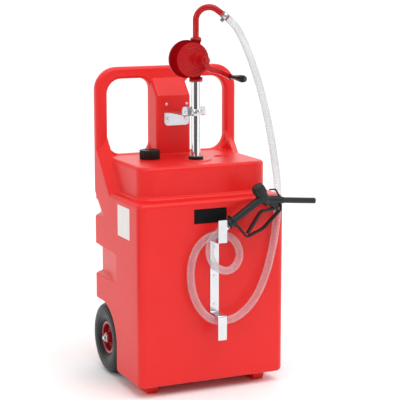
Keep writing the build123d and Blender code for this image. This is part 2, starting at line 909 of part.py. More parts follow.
# Strap round the front of the tube, with an ear on each side that is bolted to the bracket's tab
strap_bore = tube_radius + slide_gap
strap_outer = strap_bore + strap_thickness
with BuildPart() as tube_strap:
    with BuildSketch(Plane.XY.offset(shelf_height + seat_gap)):
        with Locations((port_x, port_y)):
            Circle(strap_outer)
            with Locations((0, strap_bore / 2)):
                Rectangle(2 * strap_outer, strap_bore)
        with Locations((port_x, tab_front_y - strap_thickness / 2)):
            Rectangle(2 * (strap_outer + strap_ear_length), strap_thickness)
        with Locations((port_x, port_y)):
            Circle(strap_bore, mode=Mode.SUBTRACT)
            with Locations((0, strap_bore)):
                Rectangle(2 * strap_bore, 2 * strap_bore, mode=Mode.SUBTRACT)
        with Locations((port_x, tab_front_y + strap_outer)):
            Rectangle(2 * strap_outer, 2 * strap_outer, mode=Mode.SUBTRACT)
    extrude(amount=strap_height)
    with BuildSketch(xz_plane(tab_front_y)):
        for bolt_side in (-1, 1):
            bolt_x = port_x + bolt_side * (tube_radius + strap_thickness + strap_ear_length / 2)
            with Locations((bolt_x, shelf_height + strap_height / 2)):
                Circle(strap_bolt_radius)
    extrude(amount=strap_thickness, mode=Mode.SUBTRACT)
keep(tube_strap.part, "tube_strap")

strap_nut_back_y = tab_front_y + bracket_sheet + strap_nut_height
with BuildPart() as strap_bolts:
    for bolt_side in (-1, 1):
        bolt_x = port_x + bolt_side * (tube_radius + strap_thickness + strap_ear_length / 2)
        with BuildSketch(xz_plane(strap_nut_back_y)):
            with Locations((bolt_x, shelf_height + strap_height / 2)):
                Circle(strap_bolt_radius)
        extrude(amount=strap_nut_back_y - tab_front_y + strap_thickness)
        with BuildSketch(xz_plane(tab_front_y - strap_thickness)):
            with Locations((bolt_x, shelf_height + strap_height / 2)):
                RegularPolygon(strap_bolt_head, 6)
        extrude(amount=strap_bolt_head_height)
keep(strap_bolts.part, "strap_bolts")

with BuildPart() as strap_nuts:
    with BuildSketch(xz_plane(strap_nut_back_y)):
        for bolt_side in (-1, 1):
            bolt_x = port_x + bolt_side * (tube_radius + strap_thickness + strap_ear_length / 2)
            with Locations((bolt_x, shelf_height + strap_height / 2)):
                RegularPolygon(strap_bolt_head, 6)
                Circle(strap_bolt_radius, mode=Mode.SUBTRACT)
    extrude(amount=strap_nut_height)
keep(strap_nuts.part, "strap_nuts")


# Two-bolt flanges on the tube's line, which join the tube, the pump and the spout

def flange_plate(bottom, thickness, length, width, bore):
    """A two-bolt flange or its gasket, with holes for the bolts."""
    bolt_x = length / 2 - flange_bolt_edge
    with BuildPart() as plate:
        with BuildSketch(Plane.XY.offset(bottom)) as outline:
            with Locations((port_x, port_y)):
                Circle(width / 2)
            with Locations((port_x - bolt_x, port_y), (port_x + bolt_x, port_y)):
                Circle(flange_bolt_edge)
            make_hull(outline.edges())
            with Locations((port_x - bolt_x, port_y), (port_x + bolt_x, port_y)):
                Circle(flange_bolt_radius, mode=Mode.SUBTRACT)
            if bore > 0:
                with Locations((port_x, port_y)):
                    Circle(bore, mode=Mode.SUBTRACT)
        extrude(amount=thickness)
    return plate.part


def flange_bolts(seat, length, span, up):
    """The two bolts of a flange, with their heads on the seat and their shanks pointing up or down."""
    bolt_x = span / 2 - flange_bolt_edge
    spots = ((port_x - bolt_x, port_y), (port_x + bolt_x, port_y))
    with BuildPart() as bolts:
        with BuildSketch(Plane.XY.offset(seat)):
            with Locations(*spots):
                Circle(flange_bolt_radius)
        extrude(amount=up * length)
        with BuildSketch(Plane.XY.offset(seat)):
            with Locations(*spots):
                RegularPolygon(flange_bolt_head, 6)
        extrude(amount=-up * flange_bolt_head_height)
    return bolts.part


with BuildPart() as tube_flange:
    add(flange_plate(
        tube_flange_bottom, inlet_flange_thickness, inlet_flange_length, inlet_flange_width,
        tube_radius + press_gap,
    ))
keep(tube_flange.part, "tube_flange")

with BuildPart() as tube_flange_gasket:
    add(flange_plate(
        tube_flange_top, flange_gasket_thickness, inlet_flange_length, inlet_flange_width,
        tube_radius - tube_wall,
    ))
keep(tube_flange_gasket.part, "tube_flange_gasket")

with BuildPart() as tube_flange_bolts:
    add(flange_bolts(tube_flange_bottom, tube_flange_stack, inlet_flange_length, 1))
keep(tube_flange_bolts.part, "tube_flange_bolts")

# Pump casing: a barrel with a rear flange, a stepped hub off its centre and two flanged ports
barrel_line = along_y(casing_x, pump_height)
shaft_line = along_y(port_x, pump_height)
outlet_flange_top = outlet_flange_bottom + outlet_flange_thickness
cover_bolt_circle = rim_flange_radius - cover_bolt_edge
with BuildPart() as pump_casing:
    add(turned(barrel_line, (
        (casing_front_y, 0),
        (casing_front_y, casing_radius),
        (casing_front_y + casing_length, casing_radius),
        (casing_front_y + casing_length, rim_flange_radius),
        (casing_back_y, rim_flange_radius),
        (casing_back_y, 0),
    ), rounding=(0, casing_edge_radius, 0, rim_flange_edge, 0, 0)))
    add(turned(shaft_line, (
        (hub_nose_front_y, 0),
        (hub_nose_front_y, hub_nose_radius),
        (casing_front_y - hub_step_length, hub_nose_radius),
        (casing_front_y - hub_step_length, hub_step_radius),
        (casing_front_y + casing_wall, hub_step_radius),
        (casing_front_y + casing_wall, 0),
    ), rounding=(0, hub_step_edge / 2, hub_step_edge, hub_step_edge, 0, 0)))
    add(turned(tube_line, (
        (inlet_flange_bottom, 0),
        (inlet_flange_bottom, boss_radius),
        (outlet_flange_top, boss_radius),
        (outlet_flange_top, 0),
    )))
    add(flange_plate(
        inlet_flange_bottom, inlet_flange_thickness, inlet_flange_length, inlet_flange_width, 0,
    ))
    add(flange_plate(
        outlet_flange_bottom, outlet_flange_thickness, outlet_flange_length, outlet_flange_width, 0,
    ))
    add(turned(barrel_line, (
        (casing_front_y + casing_wall, 0),
        (casing_front_y + casing_wall, casing_bore),
        (casing_back_y, casing_bore),
        (casing_back_y, 0),
    )), mode=Mode.SUBTRACT)
    add(turned(shaft_line, (
        (hub_nose_front_y, 0),
        (hub_nose_front_y, bush_radius),
        (casing_front_y + casing_wall, bush_radius),
        (casing_front_y + casing_wall, 0),
    )), mode=Mode.SUBTRACT)
    add(turned(tube_line, (
        (inlet_flange_bottom, 0),
        (inlet_flange_bottom, pump_port_bore),
        (outlet_flange_top, pump_port_bore),
        (outlet_flange_top, 0),
    )), mode=Mode.SUBTRACT)
    add(flange_bolts(spout_flange_top, spout_stack, outlet_flange_length, -1), mode=Mode.SUBTRACT)
    with BuildSketch(xz_plane(casing_back_y)):
        with Locations((casing_x, pump_height)):
            with PolarLocations(cover_bolt_circle, cover_bolt_count):
                Circle(cover_bolt_radius)
    extrude(amount=rim_flange_thickness, mode=Mode.SUBTRACT)
keep(pump_casing.part, "pump_casing")

with BuildPart() as cover_gasket:
    with BuildSketch(xz_plane(cover_front_y)):
        with Locations((casing_x, pump_height)):
            Circle(rim_flange_radius)
            Circle(casing_bore, mode=Mode.SUBTRACT)
            with PolarLocations(cover_bolt_circle, cover_bolt_count):
                Circle(cover_bolt_radius, mode=Mode.SUBTRACT)
    extrude(amount=cover_gasket_thickness)
keep(cover_gasket.part, "cover_gasket")

shaft_back_y = cover_front_y + shaft_rear_seat
with BuildPart() as pump_cover:
    with BuildSketch(xz_plane(cover_back_y)):
        with Locations((casing_x, pump_height)):
            Circle(rim_flange_radius)
            with PolarLocations(cover_bolt_circle, cover_bolt_count):
                Circle(cover_bolt_radius, mode=Mode.SUBTRACT)
    extrude(amount=cover_thickness)
    with BuildSketch(xz_plane(shaft_back_y + seat_gap)):
        with Locations((port_x, pump_height)):
            Circle(shaft_radius + shaft_gap)
    extrude(amount=shaft_rear_seat + seat_gap, mode=Mode.SUBTRACT)
keep(pump_cover.part, "pump_cover")

cover_bolt_length = cover_thickness + cover_gasket_thickness + rim_flange_thickness
with BuildPart() as cover_bolts:
    with BuildSketch(xz_plane(cover_back_y)):
        with Locations((casing_x, pump_height)):
            with PolarLocations(cover_bolt_circle, cover_bolt_count):
                Circle(cover_bolt_radius)
    extrude(amount=cover_bolt_length)
    with BuildSketch(xz_plane(cover_back_y + cover_bolt_head_height)):
        with Locations((casing_x, pump_height)):
            with PolarLocations(cover_bolt_circle, cover_bolt_count):
                RegularPolygon(cover_bolt_head, 6)
    extrude(amount=cover_bolt_head_height)
keep(cover_bolts.part, "cover_bolts")

# Rotor with its sliding vanes drawn in, on the shaft that the crank turns
rotor_radius = casing_bore - casing_offset - rotor_running_gap
rotor_front_y = casing_front_y + casing_wall + seat_gap
rotor_back_y = cover_front_y - seat_gap
vane_room = vane_depth + seat_gap + seat_gap
with BuildPart() as pump_rotor:
    with BuildSketch(xz_plane(rotor_back_y)):
        with Locations((port_x, pump_height)):
            Circle(rotor_radius)
            Circle(shaft_radius + press_gap, mode=Mode.SUBTRACT)
            with PolarLocations(rotor_radius - vane_room / 2, vane_count, start_angle=45):
                Rectangle(vane_room, vane_thickness + 2 * slide_gap, mode=Mode.SUBTRACT)
    extrude(amount=rotor_back_y - rotor_front_y)
keep(pump_rotor.part, "pump_rotor")

with BuildPart() as rotor_vanes:
    with BuildSketch(xz_plane(rotor_back_y)):
        with Locations((port_x, pump_height)):
            with PolarLocations(rotor_radius - seat_gap - vane_depth / 2, vane_count, start_angle=45):
                Rectangle(vane_depth, vane_thickness)
    extrude(amount=rotor_back_y - rotor_front_y)
keep(rotor_vanes.part, "rotor_vanes")

shaft_front_y = crank_front_y - crank_nut_length - shaft_end
with BuildPart() as pump_shaft:
    with BuildSketch(xz_plane(shaft_back_y)):
        with Locations((port_x, pump_height)):
            Circle(shaft_radius)
    extrude(amount=shaft_back_y - shaft_front_y)
    chamfer(pump_shaft.edges().group_by(Axis.Y)[0], axle_chamfer)
keep(pump_shaft.part, "pump_shaft")

# Shaft bush, gland packing and gland nut in the casing's hub
bush_front_y = casing_front_y + casing_wall - bush_length
packing_front_y = bush_front_y - packing_length
with BuildPart() as shaft_bush:
    add(turned(shaft_line, (
        (bush_front_y, shaft_radius + shaft_gap),
        (bush_front_y, bush_radius),
        (casing_front_y + casing_wall, bush_radius),
        (casing_front_y + casing_wall, shaft_radius + shaft_gap),
    )))
keep(shaft_bush.part, "shaft_bush")

with BuildPart() as gland_packing:
    add(turned(shaft_line, (
        (packing_front_y, shaft_radius + shaft_gap),
        (packing_front_y, bush_radius),
        (bush_front_y, bush_radius),
        (bush_front_y, shaft_radius + shaft_gap),
    )))
keep(gland_packing.part, "gland_packing")

with BuildPart() as gland_nut:
    with BuildSketch(xz_plane(packing_front_y)):
        with Locations((port_x, pump_height)):
            Circle(bush_radius - slide_gap)
    extrude(amount=packing_front_y - gland_front_y)
    with BuildSketch(xz_plane(hub_nose_front_y)):
        with Locations((port_x, pump_height)):
            RegularPolygon(gland_nut_radius, 6)
    extrude(amount=gland_nut_length)
    with BuildSketch(xz_plane(packing_front_y)):
        with Locations((port_x, pump_height)):
            Circle(shaft_radius + shaft_gap)
    extrude(amount=packing_front_y - gland_front_y, mode=Mode.SUBTRACT)
keep(gland_nut.part, "gland_nut")

# Crank: a cast arm with two bends, its nut, the pin that it carries and the pear grip on the pin
crank_route = [(port_x, pump_height)]
for reach_share, drop_share in crank_bend_shares:
    crank_route.append((port_x + reach_share * crank_reach, pump_height - drop_share * crank_drop))
crank_route.append((crank_pin_x, crank_pin_z))
with BuildPart() as crank_arm:
    with BuildSketch(xz_plane(crank_arm_back_y)):
        with BuildLine():
            FilletPolyline(*crank_route, radius=crank_bend_radii)
        trace(line_width=crank_width)
        with Locations((crank_pin_x, crank_pin_z)):
            Circle(crank_eye_radius)
        with Locations((port_x, pump_height)):
            Circle(crank_hub_radius)
    extrude(amount=crank_thickness)
    fillet(crank_arm.faces().filter_by(Axis.Y).edges(), crank_edge_radius)
    with BuildSketch(xz_plane(crank_back_y)):
        with Locations((port_x, pump_height)):
            Circle(crank_hub_radius)
    extrude(amount=crank_hub_length)
    with BuildSketch(xz_plane(crank_back_y)):
        with Locations((port_x, pump_height)):
            Circle(shaft_radius + press_gap)
        with Locations((crank_pin_x, crank_pin_z)):
            Circle(crank_pin_radius + press_gap)
    extrude(amount=crank_hub_length, mode=Mode.SUBTRACT)
keep(crank_arm.part, "crank_arm")

with BuildPart() as crank_nut:
    with BuildSketch(xz_plane(crank_front_y)):
        with Locations((port_x, pump_height)):
            RegularPolygon(crank_nut_radius, 6)
            Circle(shaft_radius + press_gap, mode=Mode.SUBTRACT)
    extrude(amount=crank_nut_length)
keep(crank_nut.part, "crank_nut")

grip_back_y = crank_arm_front_y - seat_gap
grip_front_y = grip_back_y - grip_length
pin_head_y = grip_front_y - seat_gap
pin_line = Plane(origin=(crank_pin_x, grip_back_y, crank_pin_z), x_dir=(0, -1, 0), z_dir=(1, 0, 0))
with BuildPart() as crank_pin:
    with BuildSketch(xz_plane(crank_arm_back_y)):
        with Locations((crank_pin_x, crank_pin_z)):
            Circle(crank_pin_radius)
    extrude(amount=crank_arm_back_y - pin_head_y)
    with BuildSketch(xz_plane(pin_head_y)):
        with Locations((crank_pin_x, crank_pin_z)):
            Circle(crank_pin_head)
    extrude(amount=crank_pin_head_height)
    fillet(crank_pin.edges().group_by(Axis.Y)[0], crank_pin_head_height / 2)
keep(crank_pin.part, "crank_pin")

with BuildPart() as crank_grip:
    with BuildSketch(pin_line):
        with BuildLine():
            grip_side = Spline(
                (0, grip_neck_radius),
                *[(along * grip_length, out * grip_belly_radius) for along, out in grip_profile_shares],
                (grip_length, grip_end_radius),
            )
            Polyline(grip_side @ 1, (grip_length, 0), (0, 0), grip_side @ 0)
        make_face()
    revolve(axis=Axis(pin_line.origin, pin_line.x_dir))
    with BuildSketch(xz_plane(grip_back_y)):
        with Locations((crank_pin_x, crank_pin_z)):
            Circle(crank_pin_radius + shaft_gap)
    extrude(amount=grip_length, mode=Mode.SUBTRACT)
keep(crank_grip.part, "crank_grip")

# Outlet spout: a bent tube on a flange, turned towards the caddy's right front
spout_turn = radians(spout_bend_angle)
spout_tangent = spout_bend_radius * tan(spout_turn / 2)
spout_side = Vector(cos(radians(spout_yaw)), -sin(radians(spout_yaw)), 0)
spout_aim = spout_side * sin(spout_turn) + Vector(0, 0, 1) * cos(spout_turn)
spout_base = Vector(port_x, port_y, spout_flange_bottom)
spout_corner = spout_base + Vector(0, 0, spout_rise + spout_tangent)
spout_end = spout_corner + spout_aim * (spout_tangent + spout_tip_length)
with BuildPart() as outlet_spout:
    with BuildLine():
        FilletPolyline(spout_base, spout_corner, spout_end, radius=spout_bend_radius)
    with BuildSketch(Plane(origin=spout_base, z_dir=(0, 0, 1))):
        Circle(spout_radius)
        Circle(spout_radius - spout_wall, mode=Mode.SUBTRACT)
    sweep()
    add(flange_plate(
        spout_flange_bottom, outlet_flange_thickness, outlet_flange_length, outlet_flange_width,
        spout_radius - spout_wall,
    ))
keep(outlet_spout.part, "outlet_spout")

with BuildPart() as spout_gasket:
    add(flange_plate(
        outlet_flange_top, flange_gasket_thickness, outlet_flange_length, outlet_flange_width,
        pump_port_bore,
    ))
keep(spout_gasket.part, "spout_gasket")

with BuildPart() as spout_bolts:
    add(flange_bolts(spout_flange_top, spout_stack, outlet_flange_length, -1))
keep(spout_bolts.part, "spout_bolts")

# Hose: its free route from the spout down to the cleat, round its two plates and into the nozzle
nozzle_plane = Plane(
    origin=(nozzle_x, nozzle_y, nozzle_z),
    x_dir=(cos(radians(grip_angle)), 0, sin(radians(grip_angle))),
    z_dir=(0, -1, 0),
)


def nozzle_point(u, v):
    """A point of the nozzle's own plane in the caddy's frame."""
    return nozzle_plane.origin + nozzle_plane.x_dir * u + nozzle_plane.y_dir * v


hose_end_u = swivel_start - (tail_length - hose_overlap)
hose_route = [
    spout_end - spout_aim * hose_overlap,
    spout_end + spout_aim * hose_exit_run,
    Vector(147, -112, 1222),
    Vector(168, -134, 1160),
    Vector(190, -158, 1072),
    Vector(208, -176, 986),
    Vector(222, -190, 900),
    Vector(232, -206, 805),
    Vector(238, -225.5, 700),
    Vector(234, -229, 608),
    Vector(219, -233, 510),
    Vector(190, -237, 405),
    Vector(146, -241, 320),
    Vector(88, -245, 270),
    Vector(30, -247, 254),
    Vector(-22, -246, 262),
    Vector(-62, -243, 299),
    Vector(-88, -238, 352),
    Vector(-97, -233, 414),
    Vector(-91, -230, 474),
    Vector(-66, -229, 524),
    Vector(-27, -229, 552),
    Vector(14, -230, 557),
    Vector(51, -232, 547),
    Vector(79, -236, 519),
    Vector(87, -240, 480),
    Vector(70, -245, 445),
    Vector(38, -250, 429),
    Vector(0, -254, 440),
    Vector(-29, -257, 468),
    Vector(-39, -258, 507),
    Vector(-31, -258, 547),
    nozzle_point(hose_end_u - hose_entry_run, 0),
    nozzle_point(hose_end_u, 0),
]
hose_radii = []
for before, corner, after in zip(hose_route, hose_route[1:], hose_route[2:]):
    turn = radians((corner - before).get_angle(after - corner))
    shorter = min((corner - before).length, (after - corner).length)
    hose_radii.append(hose_corner_share * shorter / tan(turn / 2))
print("hose bend radii:", [round(radius) for radius in hose_radii])

with BuildPart() as hose:
    with BuildLine() as hose_path:
        FilletPolyline(*hose_route, radius=hose_radii)
    with BuildSketch(Plane(origin=hose_route[0], z_dir=spout_aim)):
        Circle(hose_radius)
        Circle(hose_bore, mode=Mode.SUBTRACT)
    sweep()
hose_length = sum(edge.length for edge in hose_path.edges())
hose_section = hose.part.volume / hose_length
print("hose length:", round(hose_length), "mm, volume over length:", round(hose_section, 1), "square mm")
keep(hose.part, "hose")


# Hose clamps, each a band with a worm screw in a housing

def hose_clamp(place, aim, lift):
    """A worm-drive clamp round the hose: its band and housing, and its screw."""
    seat = Plane(origin=place, x_dir=lift, z_dir=aim)
    band_radius = hose_radius + clamp_band_thickness
    box_x = band_radius + clamp_box_height / 2 - clamp_band_thickness / 2
    with BuildPart() as clamp:
        with BuildSketch(seat.offset(-clamp_band_width / 2)):
            Circle(band_radius)
            Circle(hose_radius, mode=Mode.SUBTRACT)
        extrude(amount=clamp_band_width)
        with BuildSketch(seat.offset(-clamp_box_width / 2)):
            with Locations((box_x, 0)):
                Rectangle(clamp_box_height, clamp_box_length)
            Circle(hose_radius, mode=Mode.SUBTRACT)
        extrude(amount=clamp_box_width)
        screw_spot = place + seat.x_dir * box_x - seat.y_dir * clamp_screw_length / 2
        with BuildSketch(Plane(origin=screw_spot, x_dir=aim, z_dir=seat.y_dir)):
            Circle(clamp_screw_radius)
        extrude(amount=clamp_screw_length)
    return clamp.part


keep(hose_clamp(spout_end - spout_aim * (hose_overlap - clamp_inset - clamp_band_width / 2), spout_aim,
                spout_aim * spout_aim.Z - Vector(0, 0, 1)), "spout_hose_clamp")
keep(hose_clamp(nozzle_point(hose_end_u - clamp_inset - clamp_band_width / 2, 0), nozzle_plane.x_dir,
                nozzle_plane.y_dir), "nozzle_hose_clamp")

# Hose cleat: one bent strip, screwed to the tank's front, with a plate turned up and one turned down
cleat_front_y = front_y - cleat_reach + cleat_sheet / 2
cleat_back_y = front_y - cleat_sheet / 2
cleat_top_z = cleat_shelf_height - cleat_sheet / 2
cleat_low_z = cleat_shelf_height - cleat_span + cleat_sheet / 2
with BuildPart() as hose_cleat:
    with BuildSketch(yz_plane(cleat_x)):
        with BuildLine():
            FilletPolyline(
                (cleat_front_y, cleat_top_z + cleat_plate_height),
                (cleat_front_y, cleat_top_z),
                (cleat_back_y, cleat_top_z),
                (cleat_back_y, cleat_low_z),
                (cleat_front_y, cleat_low_z),
                (cleat_front_y, cleat_low_z - cleat_tail_height),
                radius=cleat_bend_radius,
            )
        trace(line_width=cleat_sheet)
    extrude(amount=cleat_width / 2, both=True)
    ends = hose_cleat.edges().filter_by(lambda edge: edge.length < cleat_sheet + slide_gap)
    fillet(ends.group_by(Axis.Z)[0] + ends.group_by(Axis.Z)[-1], cleat_corner)
    with BuildSketch(xz_plane(front_y)):
        for screw_z in cleat_screw_z:
            with Locations((cleat_x, screw_z)):
                Circle(cleat_screw_radius)
    extrude(amount=cleat_sheet, mode=Mode.SUBTRACT)
keep(hose_cleat.part, "hose_cleat")

with BuildPart() as cleat_screws:
    with BuildSketch(xz_plane(front_y + wall)):
        for screw_z in cleat_screw_z:
            with Locations((cleat_x, screw_z)):
                Circle(cleat_screw_radius)
    extrude(amount=wall + cleat_sheet)
    with BuildSketch(xz_plane(front_y - cleat_sheet)):
        for screw_z in cleat_screw_z:
            with Locations((cleat_x, screw_z)):
                Circle(cleat_screw_head)
    extrude(amount=cleat_screw_head_height)
    fillet(cleat_screws.faces().group_by(Axis.Y)[0].edges(), cleat_screw_head_height / 2)
keep(cleat_screws.part, "cleat_screws")

# Nozzle tail: the barb that the hose goes over, and the swivel with its collar
swivel_end = swivel_start + swivel_length
tail_start = swivel_start - tail_length
with BuildPart() as nozzle_tail:
    add(turned(nozzle_plane, (
        (tail_start, tail_bore),
        (tail_start, barb_radius),
        (swivel_start, barb_radius),
        (swivel_start, swivel_radius),
        (swivel_end - collar_length, swivel_radius),
        (swivel_end - collar_length, collar_radius),
        (swivel_end, collar_radius),
        (swivel_end, tail_bore),
    ), rounding=(0, swivel_edge / 2, 0, swivel_edge, 0, swivel_edge, swivel_edge, 0)))
keep(nozzle_tail.part, "nozzle_tail")

# Nozzle guard: a flat bow under the grip, set into the body at both ends
with BuildPart() as nozzle_guard:
    with BuildSketch(nozzle_plane.offset(-guard_width / 2)):
        with BuildLine():
            FilletPolyline(
                (guard_start_u, guard_start_v),
                *guard_points_uv,
                (guard_end_u, guard_end_v),
                radius=guard_radii,
            )
        trace(line_width=guard_thickness)
    extrude(amount=guard_width)
keep(nozzle_guard.part, "nozzle_guard")

# Nozzle hook: a bent wire that the nozzle can be hung up by
hook_start = nozzle_point(hook_start_u, hook_start_v)
hook_next = nozzle_point(*hook_points_uv[0])
with BuildPart() as nozzle_hook:
    with BuildLine():
        FilletPolyline(
            hook_start,
            *[nozzle_point(u, v) for u, v in hook_points_uv],
            nozzle_point(hook_end_u, hook_end_v),
            radius=hook_bend_radius,
        )
    with BuildSketch(Plane(origin=hook_start, z_dir=hook_next - hook_start)):
        Circle(hook_radius)
    sweep()
keep(nozzle_hook.part, "nozzle_hook")

# Nozzle spout: the outlet pipe, seated in the body's socket, with a ring where it enters
valve_line = Plane(
    origin=nozzle_point(valve_u, 0), x_dir=nozzle_plane.y_dir, z_dir=nozzle_plane.z_dir,
)
outlet_turn = radians(outlet_angle)
outlet_aim = nozzle_plane.x_dir * cos(outlet_turn) - nozzle_plane.y_dir * sin(outlet_turn)
outlet_line = Plane(
    origin=nozzle_point(valve_u, outlet_cross), x_dir=outlet_aim, z_dir=nozzle_plane.z_dir,
)
spout_seat = socket_length - nozzle_spout_seat
with BuildPart() as nozzle_spout:
    add(turned(outlet_line, (
        (spout_seat, nozzle_spout_bore),
        (spout_seat, nozzle_spout_radius),
        (socket_length, nozzle_spout_radius),
        (socket_length, nozzle_ring_radius),
        (socket_length + nozzle_ring_length, nozzle_ring_radius),
        (socket_length + nozzle_ring_length, nozzle_spout_radius),
        (spout_seat + nozzle_spout_length, nozzle_spout_radius),
        (spout_seat + nozzle_spout_length, nozzle_spout_bore),
    ), rounding=(0, 0, 0, swivel_edge / 2, swivel_edge / 2, 0, swivel_edge / 2, 0)))
keep(nozzle_spout.part, "nozzle_spout")

# Nozzle lever: a bar on a pin in the lug, with its long end below the grip
with BuildPart() as nozzle_lever:
    with BuildSketch(nozzle_plane.offset(-lever_width / 2)):
        with BuildLine():
            FilletPolyline(
                (lug_u, lug_v),
                *lever_points_uv,
                (lever_end_u, lever_end_v),
                radius=lever_bend_radii,
            )
        trace(line_width=lever_thickness)
        with Locations((lug_u, lug_v)):
            Circle(lever_eye_radius)
            Circle(lever_pin_radius + shaft_gap, mode=Mode.SUBTRACT)
    extrude(amount=lever_width)
keep(nozzle_lever.part, "nozzle_lever")

cheek_inner = lever_width / 2 + seat_gap
cheek_outer = cheek_inner + lug_cheek
with BuildPart() as lever_pin:
    with BuildSketch(nozzle_plane.offset(-cheek_outer - lever_pin_head_height)):
        with Locations((lug_u, lug_v)):
            Circle(lever_pin_head)
    extrude(amount=lever_pin_head_height)
    with BuildSketch(nozzle_plane.offset(-cheek_outer)):
        with Locations((lug_u, lug_v)):
            Circle(lever_pin_radius)
    extrude(amount=2 * cheek_outer)
    with BuildSketch(nozzle_plane.offset(cheek_outer)):
        with Locations((lug_u, lug_v)):
            Circle(lever_pin_head)
    extrude(amount=lever_pin_head_height)
keep(lever_pin.part, "lever_pin")

# Nozzle body: grip, valve housing, outlet socket and the two cheeks that carry the lever
with BuildPart() as nozzle_body:
    with BuildSketch(Plane(
        origin=nozzle_point(swivel_end, 0), x_dir=nozzle_plane.y_dir, z_dir=nozzle_plane.x_dir,
    )):
        RectangleRounded(grip_end_width, grip_thickness, grip_edge_radius)
    with BuildSketch(Plane(
        origin=nozzle_point(valve_u, 0), x_dir=nozzle_plane.y_dir, z_dir=nozzle_plane.x_dir,
    )):
        RectangleRounded(grip_width, grip_thickness, grip_edge_radius)
    loft()
    add(turned(valve_line, (
        (valve_bottom, 0),
        (valve_bottom, valve_neck_radius),
        (valve_neck_top, valve_radius),
        (valve_top, valve_radius),
        (valve_top, 0),
    ), rounding=(0, swivel_edge, 0, 0, 0)))
    add(turned(outlet_line, (
        (0, 0),
        (0, socket_radius),
        (socket_length, socket_radius),
        (socket_length, 0),
    ), rounding=(0, 0, swivel_edge, 0)))
    for cheek_start in (-cheek_outer, cheek_inner):
        with BuildSketch(nozzle_plane.offset(cheek_start)) as cheek:
            with Locations((lug_u, lug_v)):
                Circle(lug_radius)
            with Locations((lug_root_u, lug_root_v)):
                Circle(lug_root_radius)
            make_hull(cheek.edges())
        extrude(amount=lug_cheek)
    add(turned(nozzle_plane, (
        (swivel_end, 0),
        (swivel_end, channel_radius),
        (valve_u, channel_radius),
        (valve_u, 0),
    )), mode=Mode.SUBTRACT)
    add(turned(valve_line, (
        (valve_bottom - cut_overrun, 0),
        (valve_bottom - cut_overrun, stem_radius + seat_gap),
        (valve_well_floor, stem_radius + seat_gap),
        (valve_well_floor, valve_seat_bore),
        (valve_seat, valve_seat_bore),
        (valve_seat, valve_chamber),
        (valve_top + cut_overrun, valve_chamber),
        (valve_top + cut_overrun, 0),
    )), mode=Mode.SUBTRACT)
    add(turned(outlet_line, (
        (valve_neck_radius / 2, 0),
        (valve_neck_radius / 2, channel_radius),
        (spout_seat, channel_radius),
        (spout_seat, nozzle_spout_radius),
        (socket_length + cut_overrun, nozzle_spout_radius),
        (socket_length + cut_overrun, 0),
    )), mode=Mode.SUBTRACT)
    with BuildSketch(nozzle_plane.offset(-cheek_outer - lever_pin_head_height)):
        with Locations((lug_u, lug_v)):
            Circle(lever_pin_radius)
    extrude(amount=2 * cheek_outer + 2 * lever_pin_head_height, mode=Mode.SUBTRACT)
    add(nozzle_guard.part, mode=Mode.SUBTRACT)
    add(nozzle_hook.part, mode=Mode.SUBTRACT)
keep(nozzle_body.part, "nozzle_body")

# Valve cap over the valve housing
valve_cap_top = valve_top + valve_cap_height
spigot_radius = valve_chamber - slide_gap
with BuildPart() as nozzle_valve_cap:
    add(turned(valve_line, (
        (valve_top - valve_cap_spigot, spigot_radius - valve_cap_wall / 2),
        (valve_top - valve_cap_spigot, spigot_radius),
        (valve_top, spigot_radius),
        (valve_top, valve_cap_radius),
        (valve_cap_top, valve_cap_radius),
        (valve_cap_top, 0),
        (valve_cap_top - valve_cap_wall, 0),
        (valve_cap_top - valve_cap_wall, spigot_radius - valve_cap_wall / 2),
    ), rounding=(0, 0, 0, swivel_edge, valve_cap_edge, 0, 0, 0)))
keep(nozzle_valve_cap.part, "nozzle_valve_cap")

# Valve: a disc on its seat and a stem down to the lever
lever_slope = (lever_points_uv[0][1] - lug_v) / (lever_points_uv[0][0] - lug_u)
lever_top_v = (
    lug_v + lever_slope * (valve_u - lug_u) + lever_thickness / 2 * sqrt(1 + lever_slope**2)
    + abs(lever_slope) * stem_radius
)
poppet_bottom = valve_seat + seat_gap
with BuildPart() as nozzle_valve:
    add(turned(valve_line, (
        (lever_top_v + seat_gap, 0),
        (lever_top_v + seat_gap, stem_radius),
        (poppet_bottom, stem_radius),
        (poppet_bottom, poppet_radius),
        (poppet_bottom + poppet_height, poppet_radius),
        (poppet_bottom + poppet_height, 0),
    )))
keep(nozzle_valve.part, "nozzle_valve")

# Valve spring, drawn at the length it has with the valve fully open
spring_top = valve_cap_top - valve_cap_wall
spring_bottom = poppet_bottom + poppet_height + valve_lift + seat_gap
spring_rise = spring_top - spring_bottom - 2 * spring_wire
spring_start = nozzle_point(valve_u, spring_bottom + spring_wire)
with BuildPart() as nozzle_spring:
    with BuildLine() as spring_path:
        Helix(
            pitch=spring_rise / spring_turns, height=spring_rise, radius=spring_radius,
            center=spring_start, direction=valve_line.x_dir,
        )
    with BuildSketch(Plane(origin=spring_path.edges()[0] @ 0, z_dir=spring_path.edges()[0] % 0)):
        Circle(spring_wire)
    sweep(is_frenet=True)
keep(nozzle_spring.part, "nozzle_spring")

